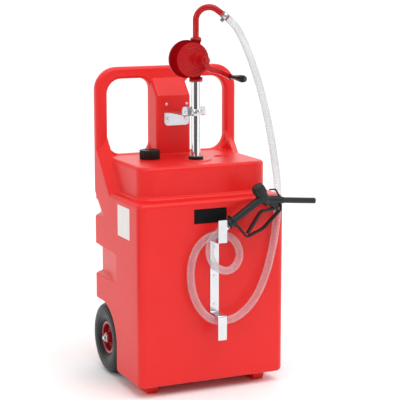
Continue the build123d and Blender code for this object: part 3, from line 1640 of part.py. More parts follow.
# Wheels: on each side a tyre, a rim in two bolted halves and two bearings
tyre_half = tyre_width / 2
bead_half = rim_width / 2 - rim_sheet
hub_end = hub_length / 2
for side, name in ((-1, "left"), (1, "right")):
    wheel_line = Plane(
        origin=(side * wheel_plane, axle_y, wheel_radius), x_dir=(side, 0, 0), z_dir=(0, -side, 0),
    )
    wheel_face = Plane(
        origin=(side * wheel_plane, axle_y, wheel_radius), x_dir=(0, side, 0), z_dir=(side, 0, 0),
    )
    with BuildPart() as tyre:
        with BuildSketch(wheel_line):
            with BuildLine():
                root_z = rim_radius + sidewall_root
                shoulder_z = wheel_radius - tread_shoulder
                middle_z = wheel_radius - sidewall_height
                crown = ThreePointArc(
                    (-tread_half_width, shoulder_z), (0, wheel_radius), (tread_half_width, shoulder_z),
                )
                ThreePointArc(crown @ 1, (tyre_half, middle_z), (bead_half + bead_bulge, root_z))
                Polyline(
                    (bead_half + bead_bulge, root_z),
                    (bead_half, rim_radius + seat_gap),
                    (bead_half, rim_seat_radius),
                    (-bead_half, rim_seat_radius),
                    (-bead_half, rim_radius + seat_gap),
                    (-bead_half - bead_bulge, root_z),
                )
                ThreePointArc((-bead_half - bead_bulge, root_z), (-tyre_half, middle_z), crown @ 0)
            make_face()
            with BuildLine():
                inner_crown = ThreePointArc(
                    (tyre_wall - tread_half_width, shoulder_z - tyre_wall),
                    (0, wheel_radius - tyre_wall),
                    (tread_half_width - tyre_wall, shoulder_z - tyre_wall),
                )
                ThreePointArc(
                    inner_crown @ 1,
                    (tyre_half - tyre_wall, middle_z),
                    (bead_half - tyre_wall, rim_seat_radius + tyre_wall),
                )
                Polyline(
                    (bead_half - tyre_wall, rim_seat_radius + tyre_wall),
                    (bead_half - tyre_wall, rim_seat_radius),
                    (tyre_wall - bead_half, rim_seat_radius),
                    (tyre_wall - bead_half, rim_seat_radius + tyre_wall),
                )
                ThreePointArc(
                    (tyre_wall - bead_half, rim_seat_radius + tyre_wall),
                    (tyre_wall - tyre_half, middle_z),
                    inner_crown @ 0,
                )
            make_face(mode=Mode.SUBTRACT)
            for groove_x in (-groove_spacing, 0, groove_spacing):
                with Locations((groove_x, wheel_radius)):
                    Rectangle(groove_width, 2 * groove_depth, mode=Mode.SUBTRACT)
        revolve(axis=Axis(wheel_line.origin, wheel_line.x_dir))
    keep(tyre.part, f"tyre_{name}")

    with BuildPart() as rim:
        add(turned(wheel_line, (
            (slide_gap, bearing_radius),
            (hub_end, bearing_radius),
            (hub_end, bearing_radius + hub_wall),
            (rim_sheet, bearing_radius + hub_wall),
            (rim_sheet, rim_seat_radius - rim_sheet),
            (rim_width / 2, rim_seat_radius - rim_sheet),
            (rim_width / 2, rim_radius),
            (bead_half, rim_radius),
            (bead_half, rim_seat_radius),
            (slide_gap, rim_seat_radius),
        ), rounding=(0, 0, rim_edge_radius, rim_sheet, rim_dish_radius, rim_sheet, rim_edge_radius,
                     rim_edge_radius, 0, 0)))
        mirror(about=wheel_face)
        with BuildSketch(wheel_face.offset(-rim_sheet)):
            with PolarLocations(rim_bolt_circle_radius, rim_bolt_count, start_angle=45):
                Circle(rim_bolt_radius)
        extrude(amount=2 * rim_sheet, mode=Mode.SUBTRACT)
    keep(rim.part, f"rim_{name}")

    with BuildPart() as rim_bolts:
        with BuildSketch(wheel_face.offset(-rim_sheet)):
            with PolarLocations(rim_bolt_circle_radius, rim_bolt_count, start_angle=45):
                Circle(rim_bolt_radius)
        extrude(amount=2 * rim_sheet)
        for bolt_seat, bolt_way in ((rim_sheet, 1), (-rim_sheet, -1)):
            with BuildSketch(wheel_face.offset(bolt_seat)):
                with PolarLocations(rim_bolt_circle_radius, rim_bolt_count, start_angle=45):
                    RegularPolygon(rim_bolt_head, 6)
            extrude(amount=bolt_way * rim_bolt_head_height)
    keep(rim_bolts.part, f"rim_bolts_{name}")

    with BuildPart() as bearings:
        add(turned(wheel_line, (
            (hub_end - bearing_width, axle_radius + shaft_gap),
            (hub_end - bearing_width, bearing_radius),
            (hub_end, bearing_radius),
            (hub_end, bearing_radius - shield_land),
            (hub_end - shield_depth, bearing_radius - shield_land),
            (hub_end - shield_depth, axle_radius + shield_land),
            (hub_end, axle_radius + shield_land),
            (hub_end, axle_radius + shaft_gap),
        )))
        mirror(about=wheel_face)
    keep(bearings.part, f"bearings_{name}")

# Axle through the tank's tunnel, with a spacer, a washer and a cotter pin at each end
washer_x = wheel_plane + hub_end + seat_gap
pin_x = washer_x + washer_thickness + seat_gap + axle_pin_radius
axle_half_length = pin_x + axle_end
with BuildPart() as axle:
    with BuildSketch(yz_plane(0)):
        with Locations((axle_y, wheel_radius)):
            Circle(axle_radius)
    extrude(amount=axle_half_length, both=True)
    chamfer(axle.faces().filter_by(Axis.X).edges(), axle_chamfer)
    with BuildSketch(Plane.XY.offset(wheel_radius)):
        with Locations((-pin_x, axle_y), (pin_x, axle_y)):
            Circle(axle_pin_radius)
    extrude(amount=axle_pin_length, both=True, mode=Mode.SUBTRACT)
keep(axle.part, "axle")

with BuildPart() as axle_washers:
    for side in (-1, 1):
        axle_line = Plane(origin=(0, axle_y, wheel_radius), x_dir=(side, 0, 0), z_dir=(0, -side, 0))
        add(turned(axle_line, (
            (washer_x, axle_radius + shaft_gap),
            (washer_x, washer_radius),
            (washer_x + washer_thickness, washer_radius),
            (washer_x + washer_thickness, axle_radius + shaft_gap),
        )))
        add(turned(axle_line, (
            (well_half_width, axle_radius + shaft_gap),
            (well_half_width, spacer_radius),
            (wheel_plane - hub_end - seat_gap, spacer_radius),
            (wheel_plane - hub_end - seat_gap, axle_radius + shaft_gap),
        )))
keep(axle_washers.part, "axle_washers")

with BuildPart() as axle_pins:
    with BuildSketch(Plane.XY.offset(wheel_radius)):
        with Locations((-pin_x, axle_y), (pin_x, axle_y)):
            Circle(axle_pin_radius)
    extrude(amount=axle_pin_length / 2, both=True)
keep(axle_pins.part, "axle_pins")
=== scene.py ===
from math import cos, radians, sin, tau

import bmesh
import bpy
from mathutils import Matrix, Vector


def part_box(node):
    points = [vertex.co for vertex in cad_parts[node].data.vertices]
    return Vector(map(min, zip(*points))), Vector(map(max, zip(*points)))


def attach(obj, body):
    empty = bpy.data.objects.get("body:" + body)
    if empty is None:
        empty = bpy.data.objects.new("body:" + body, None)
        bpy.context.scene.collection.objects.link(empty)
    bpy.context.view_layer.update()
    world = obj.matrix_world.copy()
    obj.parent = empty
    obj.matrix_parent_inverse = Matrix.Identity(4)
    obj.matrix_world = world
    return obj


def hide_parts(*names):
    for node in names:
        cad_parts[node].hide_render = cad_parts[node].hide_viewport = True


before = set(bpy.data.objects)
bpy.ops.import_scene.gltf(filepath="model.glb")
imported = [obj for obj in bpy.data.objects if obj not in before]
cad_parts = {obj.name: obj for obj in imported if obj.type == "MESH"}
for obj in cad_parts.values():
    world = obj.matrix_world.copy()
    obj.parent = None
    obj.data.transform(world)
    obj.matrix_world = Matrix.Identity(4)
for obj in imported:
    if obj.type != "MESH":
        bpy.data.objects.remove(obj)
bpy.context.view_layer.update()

# Studio: a pale floor with no edge in sight, a soft sky, two large soft lights, dark cards that only the gloss
# picks up, and the camera, which stands a little to the left of the caddy's front, with a long lens.
picture_width = 400
focal_length_pixels = 1368.3
film_width = 36.0
camera_azimuth = radians(-24.46)
camera_elevation = radians(9.85)
camera_distance = 4.6107
camera_aim = Vector((-0.0514, -0.212, 0.6761))
floor_radius = 90.0
floor_tint = (0.97, 0.97, 0.97, 1.0)
sky_light = 0.42
sky_front_shade = 0.5
sky_top_gain = 1.4
sky_back_gain = 2.2
sky_front_focus = 3.0
sky_back_focus = 4.0
sky_back_sides = (0.87, 0.5)
card_steps = 24
floor_sides = 64


class Wire:
    """An output of a shader node. Sums and products of wires add the nodes that work them out."""

    def __init__(self, tree, socket=None):
        self.tree = tree
        self.socket = socket

    def add(self, kind, settings=None, inputs=None, output=0):
        """Adds one node: first its settings, then the values or links of its inputs."""
        node = self.tree.nodes.new("ShaderNode" + kind)
        for name, value in (settings or {}).items():
            if name == "stops":
                ramp = node.color_ramp
                while len(ramp.elements) < len(value):
                    ramp.elements.new(0.5)
                for element, (place, colour) in zip(ramp.elements, value):
                    element.position = place
                    element.color = colour
            else:
                setattr(node, name, value)
        for name, value in (inputs or {}).items():
            if isinstance(value, Wire):
                self.tree.links.new(value.socket, node.inputs[name])
            else:
                node.inputs[name].default_value = value
        return Wire(self.tree, node.outputs[output])

    def maths(self, operation, first, second=0.0):
        return self.add("Math", {"operation": operation}, {0: first, 1: second})

    def __add__(self, other):
        return self.maths("ADD", self, other)

    def __mul__(self, other):
        return self.maths("MULTIPLY", self, other)

    def __sub__(self, other):
        return self.maths("SUBTRACT", self, other)

    def __rsub__(self, other):
        return self.maths("SUBTRACT", other, self)

    def __pow__(self, other):
        return self.maths("POWER", self, other)

    __radd__ = __add__
    __rmul__ = __mul__

    def axis(self, letter):
        """One coordinate of this place or direction: X, Y or Z."""
        return self.add("SeparateXYZ", inputs={"Vector": self}, output=letter)

    def positive(self):
        """This value where it is over 0, and 0 elsewhere."""
        return self.maths("MAXIMUM", self, 0.0)

    def clamped(self):
        """This value held between 0 and 1."""
        return self.maths("MINIMUM", self.positive(), 1.0)

    def mixed(self, first, second):
        """The first colour where this value is 0, and the second where it is 1."""
        return self.add("Mix", {"data_type": "RGBA"}, {0: self, 6: first, 7: second}, output=2)

    def noise(self, scale, detail=2.0, roughness=0.5):
        """Even noise from 0 to 1 at this place."""
        return self.add(
            "TexNoise", inputs={"Vector": self, "Scale": scale, "Detail": detail, "Roughness": roughness}
        )

    def between(self, dark, light):
        """A colour that goes from one to the other as this value goes from 0 to 1."""
        return self.add("ValToRGB", {"stops": [(0.0, dark), (1.0, light)]}, {"Fac": self})

    def relief(self, height, strength=1.0):
        """The surface's normal where this value lifts it by up to the height, in metres."""
        return self.add("Bump", inputs={"Height": self, "Distance": height, "Strength": strength})


def finish(name, recipe):
    """A material, from a recipe that gives the surface's sockets from the place on the piece."""
    material = bpy.data.materials.new(name)
    material.use_nodes = True
    tree = material.node_tree
    tree.nodes.clear()
    place = Wire(tree).add("TexCoord", output="Object")
    surface = place.add("BsdfPrincipled", inputs=recipe(place))
    end = tree.nodes.new("ShaderNodeOutputMaterial")
    tree.links.new(surface.socket, end.inputs["Surface"])
    return material


def enter(name, data):
    """A new object in the scene, from its mesh, curve, light or lens."""
    piece = bpy.data.objects.new(name, data)
    bpy.context.scene.collection.objects.link(piece)
    return piece


def formed(name, work):
    """The mesh that the work has come to, after which the work is let go."""
    mesh = bpy.data.meshes.new(name)
    work.to_mesh(mesh)
    work.free()
    return mesh


def show(name, mesh, material):
    """Puts a mesh into the scene with its finish, shaded smooth."""
    piece = enter(name, mesh)
    mesh.materials.clear()
    mesh.materials.append(material)
    mesh.polygons.foreach_set("use_smooth", [True] * len(mesh.polygons))
    return piece


def floor_paint(place):
    """Matt pale paint with a trace of unevenness."""
    return {"Base Color": floor_tint, "Roughness": place.noise(3.0) * 0.1 + 0.8}


def card_felt(place):
    """Dark grey felt."""
    return {
        "Base Color": place.noise(8.0).between((0.07, 0.07, 0.075, 1.0), (0.10, 0.10, 0.105, 1.0)),
        "Roughness": 0.9,
    }


def heading_to(azimuth, elevation):
    """The direction from the caddy to an azimuth, counted from its front, and an elevation, in radians."""
    return Vector((sin(azimuth) * cos(elevation), -cos(azimuth) * cos(elevation), sin(elevation)))


def look_along(piece, heading):
    """Turns a lamp or the camera to face along a direction."""
    piece.rotation_mode = "QUATERNION"
    piece.rotation_quaternion = heading.to_track_quat("-Z", "Y")


def dark_card(name, felt, first, last, distance, height):
    """A curved standing card between two directions, which only reflections see."""
    work = bmesh.new()
    edge = []
    for step in range(card_steps + 1):
        a = radians(first + (last - first) * step / card_steps)
        edge.append([work.verts.new((sin(a) * distance, -cos(a) * distance, z)) for z in (0.0, height)])
    for near, far in zip(edge, edge[1:]):
        work.faces.new((near[0], far[0], far[1], near[1]))
    card = show(name, formed(name, work), felt)
    card.visible_camera = False
    card.visible_diffuse = False
    card.visible_transmission = False
    card.visible_shadow = False


def soft_light(name, place, aim, size, power):
    """A large square soft light that faces a point."""
    light = bpy.data.lights.new(name, "AREA")
    light.size = size
    light.energy = power
    lamp = enter(name, light)
    lamp.location = place
    look_along(lamp, Vector(aim) - Vector(place))


def sun(name, azimuth, elevation, spread, strength):
    """A far light as wide as a cloud, which lights the whole floor alike."""
    light = bpy.data.lights.new(name, "SUN")
    light.angle = radians(spread)
    light.energy = strength
    look_along(enter(name, light), -heading_to(radians(azimuth), radians(elevation)))


ground = bmesh.new()
bmesh.ops.create_circle(ground, cap_ends=True, segments=floor_sides, radius=floor_radius)
floor_mesh = formed("studio_floor", ground)
show("studio_floor", floor_mesh, finish("floor_paint", floor_paint))

felt = finish("card_felt", card_felt)
dark_card("front_card", felt, -76, 9, 4.2, 1.2)
dark_card("right_card", felt, 70, 82, 4.2, 1.2)
dark_card("left_card", felt, -128, -62, 1.3, 0.55)
soft_light("left_softbox", (-2.6, -1.6, 1.7), (0, 0, 0.6), 0.6, 8)
soft_light("right_softbox", (2.4, -1.2, 1.5), (0, 0, 0.7), 0.4, 8)
sun("overhead_cloud", 8, 62, 50, 1.25)

sky = bpy.data.worlds.new("sky")
sky.use_nodes = True
sky.node_tree.nodes.clear()
direction = Wire(sky.node_tree).add("TexCoord", output="Generated")
seen = direction.add("LightPath", output="Is Camera Ray")
backward = direction.axis("Y")
rightward = direction.axis("X")
upward = direction.axis("Z")
front = (backward * -1.0).positive() ** sky_front_focus
back = (backward * sky_back_sides[0] + rightward * sky_back_sides[1]).positive() ** sky_back_focus
top = upward.positive()
glow = sky_light * (1.0 - sky_front_shade * front + sky_back_gain * back + sky_top_gain * top)
sky_surface = direction.add(
    "Background", inputs={"Color": (1.0, 1.0, 1.0, 1.0), "Strength": seen + (1.0 - seen) * glow}
)
sky_end = sky.node_tree.nodes.new("ShaderNodeOutputWorld")
sky.node_tree.links.new(sky_surface.socket, sky_end.inputs["Surface"])
bpy.context.scene.world = sky
bpy.context.scene.view_settings.view_transform = "Standard"

towards_camera = heading_to(camera_azimuth, camera_elevation)
lens = bpy.data.cameras.new("camera")
lens.sensor_width = film_width
lens.lens = focal_length_pixels / picture_width * film_width
camera = enter("camera", lens)
camera.location = camera_aim + towards_camera * camera_distance
look_along(camera, -towards_camera)
bpy.context.scene.camera = camera

# Tank: one hollow moulding in red polyethylene, with the handle frame, the centre column, the feet and the
# wheel wells in one piece. The mould leaves every edge and inner corner soft, and the skin faintly uneven.
tank_red = (0.80, 0.013, 0.011, 1.0)
tank_red_deep = (0.72, 0.010, 0.008, 1.0)
tank_grain = 0.0025
tank_soft_passes = 6
tank_share_kept = 0.3
neck_depth = 0.020
neck_plug_height = 0.012
neck_plug_radius = 0.029
port_plug_height = 0.022
port_plug_radius = 0.026
screw_plug_radius = 0.010
screw_plug_reach = 0.003
screw_plug_depth = 0.004
weld_distance = 0.00001
seam_distance = 0.000001
edge_angle = radians(35)
corner_steps = 6


def tank_plastic(place):
    """Moulded polyethylene: an even red with a soft sheen over a faint ripple and a fine grain."""
    tone = place.noise(4.0, detail=3.0)
    ripple = place.noise(90.0, detail=1.0)
    grain = place.noise(900.0)
    return {
        "Base Color": tone.between(tank_red_deep, tank_red),
        "Roughness": ripple * 0.08 + 0.33,
        "Specular IOR Level": 0.38,
        "Normal": (ripple + grain * 0.12).relief(0.0004, 0.5),
    }


def cylinder(work, foot, head, radius, sides=24):
    """Adds a closed cylinder between two points to a mesh in the making."""
    foot, head = Vector(foot), Vector(head)
    turn = (head - foot).to_track_quat("Z", "Y").to_matrix().to_4x4()
    turn.translation = (foot + head) / 2
    bmesh.ops.create_cone(
        work, cap_ends=True, segments=sides, radius1=radius, radius2=radius,
        depth=(head - foot).length, matrix=turn,
    )


def settled(piece):
    """The piece's mesh as its modifiers leave it."""
    return bpy.data.meshes.new_from_object(piece.evaluated_get(bpy.context.evaluated_depsgraph_get()))


def melted(node, name, material, grain, passes, plugs=(), keep=1.0):
    """A copy of a CAD piece with its edges run together, as a mould or a casting leaves them."""
    work = bmesh.new()
    work.from_mesh(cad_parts[node].data)
    for foot, head, radius in plugs:
        cylinder(work, foot, head, radius)
    piece = show(name, formed(name, work), material)
    skin = piece.modifiers.new("skin", "REMESH")
    skin.mode = "VOXEL"
    skin.voxel_size = grain
    relax = piece.modifiers.new("relax", "SMOOTH")
    relax.factor = 0.5
    relax.iterations = passes
    if keep < 1.0:
        fewer = piece.modifiers.new("fewer", "DECIMATE")
        fewer.ratio = keep
    mesh = settled(piece)
    bpy.data.objects.remove(piece)
    return show(name, mesh, material)


def carry(piece, body, slot, *nodes):
    """The piece moves with a CAD body and stands for the CAD nodes, which are hidden; the slot is not used."""
    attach(piece, body)
    if nodes:
        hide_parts(*nodes)
    return piece


def middle(node):
    """The middle of a CAD piece's box."""
    low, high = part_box(node)
    return (low + high) / 2


def dress(material, edge, *nodes):
    """Gives CAD pieces their finish and takes the sharpness off their edges."""
    for node in nodes:
        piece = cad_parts[node]
        piece.data.materials.clear()
        piece.data.materials.append(material)
        if edge > 0:
            join = piece.modifiers.new("join", "WELD")
            join.merge_threshold = weld_distance
            ease(piece, edge)


def ease(piece, edge):
    """Rounds a piece's sharp edges."""
    bevel = piece.modifiers.new("edges", "BEVEL")
    bevel.width = edge
    bevel.segments = 2
    bevel.limit_method = "ANGLE"
    bevel.angle_limit = edge_angle
    bevel.harden_normals = True


def turned(name, material, foot, aim, profile, sides=64, flutes=0, flute_depth=0.0, edge=0.0):
    """A piece turned about a line, from (place along it, radius), with flutes cut along it if asked."""
    aim = Vector(aim).normalized()
    across = aim.orthogonal().normalized()
    up = aim.cross(across)
    work = bmesh.new()
    rings = []
    for along, radius in profile:
        ring = []
        for step in range(sides):
            angle = tau * step / sides
            reach = radius - min(radius, flute_depth * (0.5 - 0.5 * cos(angle * flutes)))
            out = across * cos(angle) + up * sin(angle)
            ring.append(work.verts.new(Vector(foot) + aim * along + out * reach))
        rings.append(ring)
    for lower, upper in zip(rings, rings[1:]):
        for step in range(sides):
            after = (step + 1) % sides
            work.faces.new((lower[step], lower[after], upper[after], upper[step]))
    bmesh.ops.remove_doubles(work, verts=work.verts, dist=seam_distance)
    bmesh.ops.recalc_face_normals(work, faces=work.faces)
    piece = show(name, formed(name, work), material)
    if edge > 0:
        ease(piece, edge)
    return piece


def plate(name, material, centre, across, up, size, thickness, corner):
    """A thin plate with rounded corners, from its middle and the directions of its width and height."""
    across, up = Vector(across), Vector(up)
    out = across.cross(up)
    half_w, half_h = size[0] / 2 - corner, size[1] / 2 - corner
    work = bmesh.new()
    rim = []
    for quarter, (side, top) in enumerate(((1, 1), (-1, 1), (-1, -1), (1, -1))):
        for step in range(corner_steps + 1):
            angle = tau / 4 * (quarter + step / corner_steps)
            x = side * half_w + corner * cos(angle)
            y = top * half_h + corner * sin(angle)
            rim.append(work.verts.new(Vector(centre) + across * x + up * y))
    face = work.faces.new(rim)
    raised = bmesh.ops.extrude_face_region(work, geom=[face])
    lifted = [part for part in raised["geom"] if isinstance(part, bmesh.types.BMVert)]
    bmesh.ops.translate(work, verts=lifted, vec=out * thickness)
    bmesh.ops.recalc_face_normals(work, faces=work.faces)
    piece = show(name, formed(name, work), material)
    ease(piece, thickness / 3)
    return piece


cap_middle = middle("cap_gasket")
neck_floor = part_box("cap_gasket")[0].z - neck_depth
bung_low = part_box("pump_bung")[0].z
tube_middle = middle("pump_bung")
tank_plugs = []
for centre, low, high, radius in (
    (cap_middle, neck_floor - neck_plug_height, neck_floor, neck_plug_radius),
    (tube_middle, bung_low, bung_low + port_plug_height, port_plug_radius),
):
    tank_plugs.append(((centre.x, centre.y, low), (centre.x, centre.y, high), radius))
for screws in ("bracket_screws", "cleat_screws"):
    corners = [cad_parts[screws].matrix_world @ v.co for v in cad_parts[screws].data.vertices]
    deep = max(corner.y for corner in corners)
    spots = {(round(c.x, 2), round(c.z, 2)) for c in corners if c.y > deep - screw_plug_reach}
    for x, z in spots:
        tank_plugs.append(((x, deep - screw_plug_depth, z), (x, deep + screw_plug_reach, z), screw_plug_radius))
tank_red_plastic = finish("tank_plastic", tank_plastic)
tank = melted(
    "tank_shell", "tank_moulding", tank_red_plastic, tank_grain, tank_soft_passes, tank_plugs, tank_share_kept
)
carry(tank, "root", "tank", "tank_shell")

# Badge plate and side label: a thin black plate on the front and a thin white sticker on the left side,
# both bare, stuck to the tank.
badge_place = (-0.0125, -0.2118, 0.6195)
badge_size = (0.121, 0.050)
label_place = (-0.2723, -0.068, 0.592)
label_size = (0.110, 0.108)


def gloss_black(place):
    """Black moulded plastic with a low shine and faint scuffs."""
    scuff = place.noise(60.0, detail=4.0)
    return {
        "Base Color": scuff.between((0.003, 0.0035, 0.004, 1.0), (0.010, 0.011, 0.012, 1.0)),
        "Roughness": scuff * 0.15 + 0.28,
        "Specular IOR Level": 0.35,
        "Normal": place.noise(700.0).relief(0.00008, 0.5),
    }


def label_film(place):
    """White vinyl film, slightly uneven where it is stuck down."""
    wave = place.noise(35.0)
    return {
        "Base Color": wave.between((0.74, 0.70, 0.68, 1.0), (0.82, 0.79, 0.77, 1.0)),
        "Roughness": wave * 0.1 + 0.35,
        "Normal": wave.relief(0.0002, 0.4),
    }


def matt_black_print(place):
    """Black printed film, almost without shine."""
    scuff = place.noise(60.0, detail=4.0)
    return {
        "Base Color": scuff.between((0.002, 0.002, 0.003, 1.0), (0.006, 0.006, 0.007, 1.0)),
        "Roughness": scuff * 0.15 + 0.5,
        "Specular IOR Level": 0.15,
    }


black_moulding = finish("black_moulding", gloss_black)
black_print = finish("black_print", matt_black_print)
badge = plate("badge_plate", black_print, badge_place, (1, 0, 0), (0, 0, 1), badge_size, 0.0012, 0.002)
carry(badge, "root", "cap")
label = plate(
    "side_label", finish("label_film", label_film), label_place, (0, -1, 0), (0, 0, 1), label_size, 0.0004, 0.003
)
carry(label, "root", "tank")

# Filler cap: a ribbed black screw cap with a bar across its dished top. Its gasket, and the other gaskets
# and the packing, are of one matt black rubber.


def black_rubber(place):
    """Moulded rubber, matt with a faint bloom."""
    bloom = place.noise(40.0, detail=4.0)
    return {
        "Base Color": bloom.between((0.008, 0.008, 0.009, 1.0), (0.022, 0.022, 0.023, 1.0)),
        "Roughness": bloom * 0.15 + 0.42,
        "Normal": place.noise(500.0).relief(0.0001, 0.5),
    }


seal_rubber = finish("seal_rubber", black_rubber)
dress(black_moulding, 0.0005, "filler_cap")
dress(seal_rubber, 0.0, "cap_gasket", "bung_gasket", "tube_flange_gasket", "cover_gasket", "spout_gasket")
dress(seal_rubber, 0.0, "gland_packing")

# Suction tube: bright chromed steel, turned anew here with a smoother wall than the CAD piece's. A black
# bung with a clamping screw holds it in the tank's port, and its lower length is inside the tank.


def bright_chrome(place):
    """Chromed tube with hair-fine drawing marks along it."""
    stretched = place.add("VectorMath", {"operation": "MULTIPLY"}, {0: place, 1: (900.0, 900.0, 4.0)})
    return {
        "Base Color": place.noise(6.0).between((0.80, 0.81, 0.83, 1.0), (0.92, 0.93, 0.94, 1.0)),
        "Metallic": 1.0,
        "Roughness": stretched.noise(1.0) * 0.04 + 0.04,
    }


def bright_zinc_plate(place):
    """Bright zinc plate with a fine cloudy grain."""
    cloud = place.noise(45.0, detail=4.0)
    return {
        "Base Color": cloud.between((0.62, 0.63, 0.66, 1.0), (0.82, 0.83, 0.85, 1.0)),
        "Metallic": 0.9,
        "Roughness": cloud * 0.12 + 0.16,
        "Normal": place.noise(600.0).relief(0.00006, 0.4),
    }


chrome = finish("bright_chrome", bright_chrome)
bright_zinc = finish("bright_zinc", bright_zinc_plate)
tube_low, tube_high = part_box("suction_tube_upper")
tube_radius = (tube_high.x - tube_low.x) / 2
tube = turned(
    "suction_tube", chrome, (tube_middle.x, tube_middle.y, tube_low.z), (0, 0, 1),
    (
        (0.0, tube_radius - 0.0015), (0.0, tube_radius), (tube_high.z - tube_low.z, tube_radius),
        (tube_high.z - tube_low.z, tube_radius - 0.0015), (0.0, tube_radius - 0.0015),
    ), sides=96,
)
tube.data.set_sharp_from_angle(angle=radians(40))
carry(tube, "root", "chrome", "suction_tube_upper")
dress(black_moulding, 0.0006, "pump_bung")
dress(bright_zinc, 0.0004, "bung_screw")
dress(chrome, 0.0, "suction_tube_lower")

# Bracket and strap: bent sheet steel in bright zinc, from the column to the suction tube. Screws hold the
# bracket to the column, and bolts with nuts close the strap.
dress(bright_zinc, 0.0007, "tube_bracket", "tube_strap")
dress(bright_zinc, 0.0004, "bracket_screws", "strap_bolts", "strap_nuts")

# Column studs: two small domed heads in the column above the bracket, in the same bright zinc. The CAD
# doesn't have them, because they are only trim.
stud_radius = 0.0052
bracket_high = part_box("tube_bracket")[1]
for side, x in (("left", -0.029), ("right", 0.049)):
    stud = turned(
        "column_stud_" + side, bright_zinc, (x, bracket_high.y + 0.001, bracket_high.z - 0.004), (0, -1, 0),
        (
            (0.0, 0.0), (0.0, stud_radius), (0.0022, 0.0048), (0.0032, 0.0038), (0.0040, 0.0022), (0.0042, 0.0),
        ), sides=32,
    )
    carry(stud, "root", "zinc")

# Pump: a cast barrel in gloss red with a cover, flanges, a stepped hub and a gland nut, held by zinc bolts.
# Its front face carries two turned rings, and behind that face the barrel has painted shade: a darker red
# without the coat.
casting_grain = 0.0014
casting_soft_passes = 3
face_setback = 0.021
shade_per_metre = 300.0
ring_lift = 0.0008
face_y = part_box("pump_casing")[0].y + face_setback


def pump_paint(place):
    """Thick gloss paint over sand-cast iron, uneven in depth."""
    lump = place.noise(120.0, detail=3.0)
    return {
        "Base Color": lump.between((0.38, 0.004, 0.006, 1.0), (0.52, 0.008, 0.010, 1.0)),
        "Roughness": lump * 0.08 + 0.10,
        "Specular IOR Level": 0.28,
        "Coat Weight": place.noise(20.0) * 0.1 + 0.05,
        "Normal": lump.relief(0.0005, 0.6),
    }


def barrel_painted_shade(place):
    """The same paint on the barrel, with painted shade behind the front face: a darker red there, and duller
    with no coat.
    """
    lump = place.noise(120.0, detail=3.0)
    unshaded = lump.between((0.38, 0.004, 0.006, 1.0), (0.52, 0.008, 0.010, 1.0))
    # Painted shade: this darker red is mixed in by the share below, so the barrel darkens behind its front face.
    painted_shade_red = lump.between((0.19, 0.001, 0.003, 1.0), (0.30, 0.003, 0.005, 1.0))
    share = ((place.axis("Y") - face_y) * shade_per_metre).clamped()
    return {
        "Base Color": share.mixed(unshaded, painted_shade_red),
        "Roughness": lump * 0.10 + 0.14,
        "Specular IOR Level": 0.0,
        "Coat Weight": (1.0 - share) * (lump * 0.1 + 0.3),
        "Normal": lump.relief(0.0005, 0.6),
    }


gloss_red = finish("pump_paint", pump_paint)
barrel_shaded_red = finish("barrel_painted_shade", barrel_painted_shade)
casing = melted("pump_casing", "pump_barrel", barrel_shaded_red, casting_grain, casting_soft_passes)
carry(casing, "root", "pump_red", "pump_casing")
dress(gloss_red, 0.0010, "pump_cover", "tube_flange", "gland_nut", "outlet_spout")
dress(bright_zinc, 0.0004, "tube_flange_bolts", "cover_bolts", "spout_bolts")
cover_middle = middle("pump_cover")
for name, radius in (("outer", 0.050), ("inner", 0.040)):
    ring = turned(
        "barrel_ring_" + name, gloss_red, (cover_middle.x, face_y + ring_lift, cover_middle.z), (0, -1, 0),
        (
            (0.0, radius - 0.0026), (0.0016, radius - 0.0014), (0.0021, radius), (0.0016, radius + 0.0014),
            (0.0, radius + 0.0026), (0.0, radius - 0.0026),
        ), sides=96,
    )
    carry(ring, "root", "pump_red")

# Crank: an S-shaped cast arm in gloss red on the pump shaft, with a nut. A polished black pear grip turns
# on a pin at its end.
crank_grain = 0.0009


def glossy_black(place):
    """Polished black handle plastic."""
    smear = place.noise(30.0)
    return {
        "Base Color": smear.between((0.004, 0.004, 0.005, 1.0), (0.010, 0.010, 0.011, 1.0)),
        "Roughness": smear * 0.08 + 0.12,
        "Specular IOR Level": 0.25,
    }


def blued_steel(place):
    """Steel blackened against rust, with a low shine."""
    smear = place.noise(80.0, detail=3.0)
    return {
        "Base Color": smear.between((0.05, 0.05, 0.055, 1.0), (0.12, 0.12, 0.13, 1.0)),
        "Metallic": 1.0,
        "Roughness": smear * 0.1 + 0.22,
    }


arm = melted("crank_arm", "crank_casting", gloss_red, crank_grain, casting_soft_passes)
carry(arm, "crank", "pump_red", "crank_arm")
dress(gloss_red, 0.0006, "crank_nut", "pump_shaft")
dark_steel = finish("blued_steel", blued_steel)
dress(dark_steel, 0.0005, "crank_pin")
dress(finish("grip_black", glossy_black), 0.0, "crank_grip")

